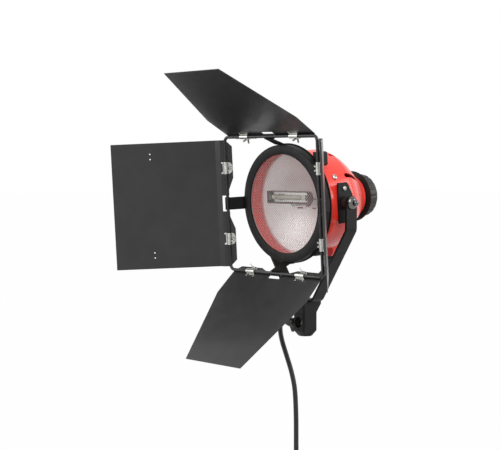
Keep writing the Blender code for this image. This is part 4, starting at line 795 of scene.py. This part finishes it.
def woven_wire(number, direction):
    """One wire of the weave along X, which passes over and under those that cross it."""
    offset = number * WEAVE_PITCH
    half = math.sqrt(max(WEAVE_REACH**2 - offset**2, 1))
    steps = int(half / WEAVE_PITCH)
    points = []
    for s in (-half, *[j * WEAVE_PITCH for j in range(-steps, steps + 1)], half):
        wave = math.cos(math.pi * (s / WEAVE_PITCH + number)) * direction
        points.append(Vector((s, WEAVE_Y + WEAVE_WAVE * wave, offset)) * MM)
    return tube_mesh(points, WEAVE_WIRE_RADIUS * MM, 4)


def make_guard(look):
    parts = [turned(GUARD_RIM, 128)]
    count = int(WEAVE_REACH / WEAVE_PITCH)
    for direction in (1, -1):
        spin = Matrix.Rotation(math.radians(45 * direction), 4, "Y")
        for number in range(-count, count + 1):
            parts.append(shifted(woven_wire(number, direction), spin))
    guard = finish_mesh(joined(*parts), "guard_mesh", look["wire"], OPTICS, 60)
    rides(guard, "head", "wire_guard", slot="guard_wire")


# Lamp and tray
TRAY_LIFT = 9.1
TRAY_LENGTH = 96
TRAY_HEIGHT = 19.6
TRAY_FRONT_Y = 10.4
TRAY_BACK_Y = 20.4
TRAY_SHEET = 1.2
TRAY_FLOOR = 1.1
TRAY_EDGE = 0.3
TRAY_CORNER = 1.2
TRAY_END_STEPS = 24
TRAY_PLATE_X = (-40.5, 36.5)
TRAY_PLATE_HALF_HEIGHT = 7.7
TRAY_PLATE_CORNER = 1.5
TRAY_PLATE_IN = (1.8, 1.15)
SEAT_BLOCK_X = (-28, -15)
SEAT_BLOCK_HALF_HEIGHT = 5
SEAT_BLOCK_CORNER = 1.2
SEAT_BLOCK_IN = (4.2, 1.9)
LAMP_Y = 14.55
LAMP_HALF = [(0, -31), (1.9, -31), (1.9, -29), (1.7, -27.5), (3.0, -25.4), (3.85, -23), (3.9, -20)]
LAMP_CAP = [
    (0, 30.8), (3.2, 30.8), (3.5, 31.2), (3.5, 37.2),
    (3.1, 37.8), (1.6, 37.9), (1.6, 38.8), (0, 39),
]
FILAMENT_TURNS = 24
FILAMENT_TURN_STEPS = 10
FILAMENT_RADIUS = 1.3
FILAMENT_HALF_LENGTH = 21
FILAMENT_WIRE_RADIUS = 0.22


def make_lamp(look):
    at = OPTICS @ Matrix.Translation((0, LAMP_Y * MM, TRAY_LIFT * MM)) @ side_on(1)
    bulb = LAMP_HALF + [(r, -y) for r, y in reversed(LAMP_HALF)]
    glass = finish_mesh(turned(bulb, 40), "lamp_envelope", look["quartz"], at)
    rides(glass, "lamp_carriage", "lamp", slot="quartz")
    ends = []
    for turn in (0, math.pi):
        ends.append(shifted(turned(LAMP_CAP, 32), Matrix.Rotation(turn, 4, "Z")))
    caps = finish_mesh(joined(*ends), "lamp_caps", look["steatite"], at)
    rides(caps, "lamp_carriage", slot="ceramic")
    points = []
    count = FILAMENT_TURNS * FILAMENT_TURN_STEPS
    for k in range(count + 1):
        angle = 2 * math.pi * (k / FILAMENT_TURN_STEPS)
        y = -FILAMENT_HALF_LENGTH + 2 * FILAMENT_HALF_LENGTH * k / count
        x, z = FILAMENT_RADIUS * math.cos(angle), FILAMENT_RADIUS * math.sin(angle)
        points.append(Vector((x, y, z)) * MM)
    coil = tube_mesh(points, FILAMENT_WIRE_RADIUS * MM, 5)
    wire = finish_mesh(coil, "lamp_filament", look["filament"], at)
    rides(wire, "lamp_carriage", slot="guard_wire")


def tray_outline(inset):
    """The tray's outline, with a square left end and a round right one."""
    half = TRAY_HEIGHT / 2 - inset
    left = inset - TRAY_LENGTH / 2
    middle = ((TRAY_LENGTH - TRAY_HEIGHT) / 2, TRAY_LIFT)
    points = arc(middle, half, -90, 90, TRAY_END_STEPS)
    points += [Vector((left, TRAY_LIFT + half)), Vector((left, TRAY_LIFT - half))]
    return filleted(points, TRAY_CORNER, 3, only=(TRAY_END_STEPS + 1, TRAY_END_STEPS + 2))


def tray_panel(x, half_height, corner, inside):
    """A flat panel in the tray, given by how far its faces are in front of the tray's back."""
    outline = rectangle(x, (TRAY_LIFT - half_height, TRAY_LIFT + half_height))
    low, high = (TRAY_BACK_Y - gap for gap in inside)
    return prism(filleted(outline, corner, 3), low, high)


def make_tray(look):
    """Tray painted dark maroon as painted shade of its gap, tinted by the red housing, with a
    bright plate and a ceramic block in it.
    """
    front, back = TRAY_FRONT_Y, TRAY_BACK_Y
    steps = (
        (0, back),
        (0, front + TRAY_EDGE),
        (TRAY_EDGE, front),
        (TRAY_SHEET - TRAY_EDGE, front),
        (TRAY_SHEET, front + TRAY_EDGE),
        (TRAY_SHEET, back - TRAY_FLOOR),
    )
    sections = [[(p[0] * MM, y * MM, p[1] * MM) for p in tray_outline(i)] for i, y in steps]
    shell = finish_mesh(loft(sections), "tray_shell", look["tray_rim"], OPTICS, 40)
    rides(shell, "lamp_carriage", "lamp_tray", slot="aluminium")
    panel = tray_panel(TRAY_PLATE_X, TRAY_PLATE_HALF_HEIGHT, TRAY_PLATE_CORNER, TRAY_PLATE_IN)
    plate = finish_mesh(panel, "tray_plate", look["plate"], OPTICS)
    rides(bevel(plate, 0.15, angle=30), "lamp_carriage", slot="aluminium")
    panel = tray_panel(SEAT_BLOCK_X, SEAT_BLOCK_HALF_HEIGHT, SEAT_BLOCK_CORNER, SEAT_BLOCK_IN)
    seat = finish_mesh(panel, "lamp_seat_block", look["brown"], OPTICS)
    rides(bevel(seat, 0.3, angle=30), "lamp_carriage", slot="ceramic")


# Barn door: ring, rod frame, straps, clips and what is on the leaves
RING_OPENING = 77.3
RING_SEAM_HALF = 0.2
RING_PROFILE = [
    (77.3, 2.4), (77.3, 1.2), (77.65, 0.35), (78.5, 0), (91, 0), (91.85, 0.35), (92.2, 1.2),
    (92.2, 13), (94, 13), (94, 14.5), (90.7, 14.5), (90.7, 1.5), (78.8, 1.5), (78.8, 2.4),
]
ROD_HALF = 106.2
ROD_Y = -22.4
ROD_RADIUS = 2.5
ROD_CORNER_RADIUS = 8
STRAP_GRIP = 3.55
STRAP_TAB = 93.25
STRAP_TAB_END_Y = 10.4
STRAP_KNEE_Y = -0.6
STRAP_KNEE_RADIUS = 4
STRAP_HOOK_ANGLE = 245
STRAP_SHEET = 1.5
STRAP_HALF_WIDTH = 10
LEAF_OPENING = {"top": 33.6, "right": 45.0, "bottom": 40.6, "left": 44.5}
CLIP_PLACES = ((1, -57), (2, 57))
CLIP_HALF_WIDTH = 9.5
CLIP_SHEET = 1
CLIP_FLAT = 2.0
CLIP_SADDLE = 3.3
CLIP_SADDLE_ANGLES = (140, 400)
CLIP_TONGUE = (-10.3, -3.6)
CLIP_TONGUE_CENTRE = -2.6
CLIP_TONGUE_RADIUS = 7.9
CLIP_TIP_HALF_WIDTH = 1.2
CLIP_HEEL = (4.2, 5.6)
WING_SCREW_OUT = 6.6
WING_SCREW_UNDER = 1.5
WING_SCREW_TOP = 6.2
WING_TURN = 35
WING_HALF_THICKNESS = 0.65
WING_RIGHT = [(0.6, -3.4), (3.2, -8.2), (5.2, -8.4), (5.9, -6.4), (1.6, -0.9)]
RIVET_PLACES = (-65.3, -48.7, 48.7, 65.3)
RIVET_OUT = 6.8
RIVET_PROFILE = [
    (0, 2.1), (1.0, 2.15), (1.5, 2.45), (1.5, 2.9), (1.2, 2.9),
    (1.2, 3.9), (1.5, 3.9), (1.5, 4.2), (0, 4.4),
]
EYELET_PLACES = (75.7, 84.0)
EYELET_OUT = 122.8
EYELET_PROFILE = [
    (1.15, 7.45), (2.2, 7.45), (2.5, 7.7), (2.5, 7.8), (1.3, 7.8),
    (1.3, 8.8), (2.5, 8.8), (2.5, 8.9), (2.2, 9.15), (1.15, 9.15),
]


def make_barn_door(look):
    seam = math.degrees(RING_SEAM_HALF / RING_OPENING)
    for side, start in (("right", -90), ("left", 90)):
        swept = turned(RING_PROFILE, 90, start + seam, 180 - 2 * seam)
        half = finish_mesh(swept, f"ring_{side}", look["powder"], OPTICS)
        rides(half, "barn_door", f"ring_half_{side}", slot="black_paint")
    make_rod(look)
    make_straps(look)
    for side, angle in SIDES.items():
        arm = OPTICS @ Matrix.Rotation(angle, 4, "Y")
        arm = arm @ Matrix.Translation((0, ROD_Y * MM, ROD_HALF * MM))
        hinge = arm @ Matrix.Rotation(math.radians(-LEAF_OPENING[side]), 4, "X")
        make_clips(look, side, hinge)
        make_leaf_trim(look, side, hinge)


def make_rod(look):
    """The round rod, bent to a square with round corners."""
    inner = ROD_HALF - ROD_CORNER_RADIUS
    path = []
    for k in range(4):
        quarter = math.radians(90 * k)
        for point in arc((inner, inner), ROD_CORNER_RADIUS, 0, 90, 12):
            x = point[0] * math.cos(quarter) - point[1] * math.sin(quarter)
            z = point[0] * math.sin(quarter) + point[1] * math.cos(quarter)
            path.append((x * MM, ROD_Y * MM, z * MM))
    curve = bpy.data.curves.new("rod_square", "CURVE")
    curve.dimensions = "3D"
    curve.bevel_depth = ROD_RADIUS * MM
    curve.bevel_resolution = 6
    spline = curve.splines.new("POLY")
    spline.points.add(len(path) - 1)
    for target, point in zip(spline.points, path):
        target.co = (*point, 1)
    spline.use_cyclic_u = True
    curve.materials.append(look["rod"])
    rod = shown("rod_square", curve)
    rod.matrix_world = OPTICS
    rides(rod, "barn_door", "rod_frame", slot="black_paint")


def make_straps(look):
    """Flat straps from the ring, bent at a knee and hooked round the rod."""
    rod, knee = Vector((ROD_Y, ROD_HALF)), Vector((STRAP_KNEE_Y, STRAP_TAB))
    gap = rod - knee
    reach = math.sqrt(gap.length**2 - STRAP_GRIP**2)
    lean = math.atan2(gap[1], gap[0]) + math.asin(STRAP_GRIP / gap.length)
    touch = knee + Vector((math.cos(lean), math.sin(lean))) * reach
    first = math.degrees(math.atan2(touch[1] - rod[1], touch[0] - rod[0]))
    corners = [(STRAP_TAB_END_Y, STRAP_TAB), knee, touch]
    path = filleted(corners, STRAP_KNEE_RADIUS, 6, closed=False)
    path += arc(rod, STRAP_GRIP, first, first + STRAP_HOOK_ANGLE, 28)[1:]
    for side, angle in SIDES.items():
        at = OPTICS @ Matrix.Rotation(angle, 4, "Y") @ SWAPPED_XY
        bar = bent_bar(path, STRAP_SHEET, STRAP_HALF_WIDTH)
        strap = finish_mesh(bar, f"strap_bar_{side}", look["powder"], at, 40)
        rides(bevel(strap, 0.3), "barn_door", f"strap_{side}", slot="black_paint")


def saddle_path():
    """A clip's path and half widths: a rounded tongue, the saddle over the rod, and a heel."""
    path, widths = [], []
    for d in np.linspace(*CLIP_TONGUE, 12):
        share = (d - CLIP_TONGUE_CENTRE) / CLIP_TONGUE_RADIUS
        round_width = CLIP_HALF_WIDTH * math.sqrt(max(0, 1 - share**2)) * 1.02
        path.append(Vector((float(d), CLIP_FLAT)))
        widths.append(max(CLIP_TIP_HALF_WIDTH, min(CLIP_HALF_WIDTH, round_width)))
    over = arc((0, 0), CLIP_SADDLE, *CLIP_SADDLE_ANGLES, 26)
    heel = [Vector((d, CLIP_FLAT)) for d in CLIP_HEEL]
    widths += [CLIP_HALF_WIDTH] * (len(over) + len(heel))
    return path + over + heel, widths


def wing_screw():
    under = WING_SCREW_UNDER
    shaft = [(0, WING_SCREW_TOP), (1.6, WING_SCREW_TOP), (1.6, under - 0.1), (3.6, under - 0.1)]
    shaft += [(3.6, under - 0.7), (2.7, under - 0.8), (2.6, under - 2.6), (2.0, under - 3.2)]
    shaft.append((0, under - 3.3))
    outline = [(-x, z) for x, z in reversed(WING_RIGHT)] + WING_RIGHT
    ears = [(p[0], p[1] + under) for p in filleted(outline, 0.9, 4)]
    ears = prism(ears, -WING_HALF_THICKNESS, WING_HALF_THICKNESS)
    spin = Matrix.Rotation(math.radians(WING_TURN), 4, "Z")
    return joined(shifted(turned(shaft, 28), UPRIGHT), shifted(ears, spin))


def make_clips(look, side, hinge):
    path, widths = saddle_path()
    body = f"leaf_{side}"
    for number, clip_x in CLIP_PLACES:
        at = hinge @ Matrix.Translation((clip_x * MM, 0, 0))
        bar = bent_bar(path, CLIP_SHEET, widths)
        strip = finish_mesh(bar, f"saddle_{side}_{number}", look["zinc"], at @ QUARTER_TURN, 40)
        rides(bevel(strip, 0.2), body, f"clip_{side}_{number}", slot="zinc")
        out = at @ Matrix.Translation((0, WING_SCREW_OUT * MM, 0))
        screw = finish_mesh(wing_screw(), f"wing_screw_{side}_{number}", look["zinc"], out)
        rides(bevel(screw, 0.2), body, slot="zinc")


def studded(profile, steps, places):
    """Copies of a small turned piece that stand at places of (x, y) on a leaf."""
    studs = []
    for x, y in places:
        at = Matrix.Translation((x * MM, y * MM, 0)) @ UPRIGHT
        studs.append(shifted(turned(profile, steps), at))
    return joined(*studs)


def make_leaf_trim(look, side, hinge):
    """Small rivets beside each clip, and the eyelets of the two side leaves."""
    rivets = studded(RIVET_PROFILE, 16, [(x, -RIVET_OUT) for x in RIVET_PLACES])
    made = finish_mesh(rivets, f"rivets_{side}", look["zinc"], hinge)
    rides(made, f"leaf_{side}", slot="zinc")
    if side in ("left", "right"):
        places = [(sign * x, -EYELET_OUT) for sign in (1, -1) for x in EYELET_PLACES]
        eyelets = studded(EYELET_PROFILE, 24, places)
        made = finish_mesh(eyelets, f"eyelets_{side}", look["rod"], hinge)
        rides(made, f"leaf_{side}", slot="black_paint")


# Yoke, pivots and screws
YOKE_FOOT_HALF = 26
YOKE_FOOT_Z = 57.3
YOKE_ARM_X = 101
YOKE_BEND_DROP = 42
YOKE_BEND_RADIUS = 12
YOKE_HALF_WIDTH = 11.0
YOKE_THICKNESS = 4
PIVOT_FACE = 103.3
PIVOT_STUD_INNER = 81
PIVOT_DOME = [
    (10, 0), (10, 0.9), (9.7, 1.7), (8.9, 2.7), (7.4, 3.8), (5.7, 4.7), (4.5, 5.2), (4.5, 9.4),
    (4.1, 10.4), (3.0, 11.4), (1.5, 11.9), (0, 12),
]
SPACER_RADIUS = 10
SPACER_X = (88.3, 98.7)
SPACER_CORNER = 0.8
LOCK_FACE = 105.2
LOCK_END = 122.2
LOCK_LOBES = 6
LOCK_LOBE_STEPS = 14
HOUSING_SCREW_Y = 43.2
HOUSING_SCREW_ANGLES = {"right": 28.4, "left": 151.6}
HOUSING_SCREW_SEAT = 0.4
HOUSING_SCREW_RADIUS = 4.5
PLATE_SCREW_UP = 22
PLATE_SCREW_SEAT = 88.3
PLATE_SCREW_RADIUS = 3.8


def make_yoke(look):
    bend_z = PIVOT_HEIGHT - YOKE_BEND_DROP
    corners = [(0, YOKE_FOOT_Z), (YOKE_FOOT_HALF, YOKE_FOOT_Z), (YOKE_ARM_X, bend_z)]
    corners.append((YOKE_ARM_X, PIVOT_HEIGHT))
    path = filleted(corners, YOKE_BEND_RADIUS, 12, closed=False)
    widths = [YOKE_HALF_WIDTH] * len(path)
    for angle in range(8, 88, 8):
        top = YOKE_HALF_WIDTH * math.sin(math.radians(angle))
        path.append(Vector((YOKE_ARM_X, PIVOT_HEIGHT + top)))
        widths.append(YOKE_HALF_WIDTH * math.cos(math.radians(angle)))
    mirrored = [Vector((-p[0], p[1])) for p in reversed(path[1:])]
    bar = bent_bar(mirrored + path, YOKE_THICKNESS, widths[:0:-1] + widths)
    yoke = finish_mesh(bar, "yoke_bar", look["powder"])
    carve(yoke, rod_y(PIVOT_HOLE_RADIUS, -110, 110), at=PIVOT @ side_on(1))
    rides(bevel(yoke, 0.7, 3), "base", "yoke", slot="black_paint")


def make_pivots(look):
    face = PIVOT_FACE
    stud = [(0, PIVOT_STUD_INNER), (4, PIVOT_STUD_INNER), (4, face)]
    outline = stud + [(r, face + y) for r, y in PIVOT_DOME]
    bolt = finish_mesh(turned(outline, 64), "pivot_dome", look["chrome"], PIVOT @ side_on(1))
    rides(bolt, "base", "pivot_bolt_right", slot="chrome")
    sleeve = filleted(rectangle((PIVOT_HOLE_RADIUS, SPACER_RADIUS), SPACER_X), SPACER_CORNER, 3)
    for side, sign in BOTH_SIDES:
        at = HEAD @ side_on(sign)
        made = finish_mesh(turned(sleeve, 64), f"spacer_{side}", look["plastic"], at)
        rides(made, "head", f"pivot_spacer_{side}", slot="black_plastic")


def lobe_dip(angle):
    return 0.5 - 0.5 * math.cos(angle)


def make_lock_knob(look):
    face, end = LOCK_FACE, LOCK_END
    sections = [
        (face, 9, 0),
        (face + 3.4, 9.4, 0),
        (face + 4.4, 10.6, 0),
        (face + 5.2, 15.6, 3),
        (face + 6.2, 17.4, 4),
        (end - 3, 18, 4),
        (end - 1.2, 17.4, 4),
        (end - 0.3, 15.8, 3.6),
        (end, 13.6, 3),
        (end, 5.4, 0),
        (end - 1, 5, 0),
    ]
    body = knob_mesh(sections, LOCK_LOBES, LOCK_LOBE_STEPS, lobe_dip)
    knob = finish_mesh(body, "lock_knob_moulding", look["plastic"])
    carve(knob, rod_y(PIVOT_HOLE_RADIUS, face - 5, end + 5))
    knob.data.transform(PIVOT @ side_on(-1))
    rides(knob, "lock_knob", "tilt_lock_knob", slot="black_plastic")


def make_screws(look):
    for side, sign in BOTH_SIDES:
        spin = Matrix.Rotation(math.radians(-HOUSING_SCREW_ANGLES[side]), 4, "Y")
        out = Matrix.Translation((0, HOUSING_SCREW_Y * MM, 0)) @ spin @ side_on(1)
        seat = skin_radius(HOUSING_SCREW_Y) + HOUSING_SCREW_SEAT
        make_screw(look, f"housing_screw_{side}", OPTICS @ out, seat, HOUSING_SCREW_RADIUS)
        at = HEAD @ Matrix.Translation((0, 0, PLATE_SCREW_UP * MM)) @ side_on(sign)
        make_screw(look, f"plate_screw_{side}", at, PLATE_SCREW_SEAT, PLATE_SCREW_RADIUS)


def make_screw(look, name, at, seat, radius):
    """Round-headed screw with a cross recess."""
    edge = seat + radius * 0.12
    outline = [(0, seat - 6.5), (2, seat - 6.5), (2, seat), (radius, seat), (radius, edge)]
    for k in range(1, 8):
        turn = math.radians(90 * k / 8)
        outline.append((radius * math.cos(turn), seat + radius * (0.12 + 0.56 * math.sin(turn))))
    outline.append((0, seat + radius * 0.68))
    screw = finish_mesh(turned(outline, 40), f"{name}_head", look["zinc"])
    deep, top = seat + radius * 0.25, seat + radius
    arm, slim = radius * 0.55, radius * 0.13
    for x, z, extra in ((arm, slim, 0), (slim, arm, 0.001)):
        carve(screw, prism(rectangle((-x, x), (-z, z)), deep - extra, top + extra))
    screw.data.transform(at)
    rides(screw, "head", name, slot="zinc")


# Pieces of the frame whose shape is right as it is: only their finish and softened edges
PLAIN_PIECES = {
    "leaf": ["leaf_top", "leaf_right", "leaf_bottom", "leaf_left"],
    "socket": ["stand_socket"],
    "powder": [
        "pivot_plate_right", "pivot_plate_left", "accessory_holder_1", "accessory_holder_2",
        "accessory_holder_3", "accessory_holder_4",
    ],
    "zinc": ["yoke_bolt", "clamp_pad", "lock_washer", "pivot_stud_left", "focus_spindle"],
    "plastic": ["clamp_knob"],
    "red": ["terminal_box"],
    "rubber": ["cable_gland", "cord_tie"],
    "galvanised": ["lamp_carriage", "carriage_bridge"],
    "ceramic": ["lamp_holder_left", "lamp_holder_right"],
}
LEAF_BEVEL = 0.25
PLAIN_BEVEL = 0.4


def dress_rest(look):
    for finish, names in PLAIN_PIECES.items():
        for name in names:
            piece = NODES[name]
            piece.data.materials.clear()
            piece.data.materials.append(look[finish])
            bevel(piece, LEAF_BEVEL if finish == "leaf" else PLAIN_BEVEL, angle=40)


# Room, in metres: a white surround that lights more softly than it shows, a floor and three lights
WHITE = (1, 1, 1, 1)
SHOWN_STRENGTH = 1.0
SOFT_STRENGTH = 0.62
FLOOR_GREY = (0.35, 0.35, 0.35, 1)
FLOOR_ROUGHNESS = 0.8
FLOOR_GLOW_SHARE = 0.99
FLOOR_Z = -0.62
FLOOR_HALF = 30
LIGHTS = (
    ("key", (1.9, -1.2, 1.6), 1.6, 38),
    ("fill", (-1.9, -2.2, 1.1), 2.2, 36),
    ("rim", (1.5, 1.9, 1.0), 1.2, 20),
)
LIGHT_AIM = (0, -0.05, 0.2)


def seen_rays(tree):
    """One for camera, glossy and transmission rays, and nothing for the rest."""
    path = tree.nodes.new("ShaderNodeLightPath")
    through = {0: path.outputs["Is Glossy Ray"], 1: path.outputs["Is Transmission Ray"]}
    through = node(tree, "Math", through, operation="MAXIMUM").outputs[0]
    either = {0: path.outputs["Is Camera Ray"], 1: through}
    return node(tree, "Math", either, operation="MAXIMUM").outputs[0]


def make_world():
    world = bpy.data.worlds.new("studio")
    bpy.context.scene.world = world
    world.use_nodes = True
    tree = world.node_tree
    tree.nodes.clear()
    seen = seen_rays(tree)
    white = node(tree, "Background", {"Color": WHITE, "Strength": SHOWN_STRENGTH})
    soft = node(tree, "Background", {"Color": WHITE, "Strength": SOFT_STRENGTH})
    mix = node(tree, "MixShader", {0: seen, 1: soft.outputs[0], 2: white.outputs[0]})
    node(tree, "OutputWorld", {0: mix.outputs[0]})


def make_floor():
    material, tree, shader = nodes_of("pale_floor")
    shader.inputs["Base Color"].default_value = FLOOR_GREY
    shader.inputs["Roughness"].default_value = FLOOR_ROUGHNESS
    share = node(tree, "Math", {0: seen_rays(tree), 1: FLOOR_GLOW_SHARE}, operation="MULTIPLY")
    glow = node(tree, "Emission", {"Color": WHITE, "Strength": SHOWN_STRENGTH})
    mix = node(tree, "MixShader", {0: share.outputs[0], 1: shader.outputs[0], 2: glow.outputs[0]})
    tree.links.new(mix.outputs[0], tree.nodes["Material Output"].inputs[0])
    bm = bmesh.new()
    bmesh.ops.create_grid(bm, x_segments=1, y_segments=1, size=FLOOR_HALF)
    floor = finish_mesh(bm, "floor", material, Matrix.Translation((0, 0, FLOOR_Z)))


def make_lights():
    for name, spot, size, power in LIGHTS:
        light = bpy.data.lights.new(name, "AREA")
        light.size = size
        light.energy = power
        made = shown(name, light)
        made.location = spot
        aim = Vector(LIGHT_AIM) - Vector(spot)
        made.rotation_euler = aim.to_track_quat("-Z", "Y").to_euler()


make_camera()
look = make_looks()
make_cord(look)
make_housing(look)
make_rear(look)
make_focus_knob(look)
make_reflector(look)
make_guard(look)
make_lamp(look)
make_tray(look)
make_barn_door(look)
make_yoke(look)
make_pivots(look)
make_lock_knob(look)
make_screws(look)
dress_rest(look)
make_world()
make_floor()
make_lights()
bpy.context.scene.view_settings.view_transform = "Standard"
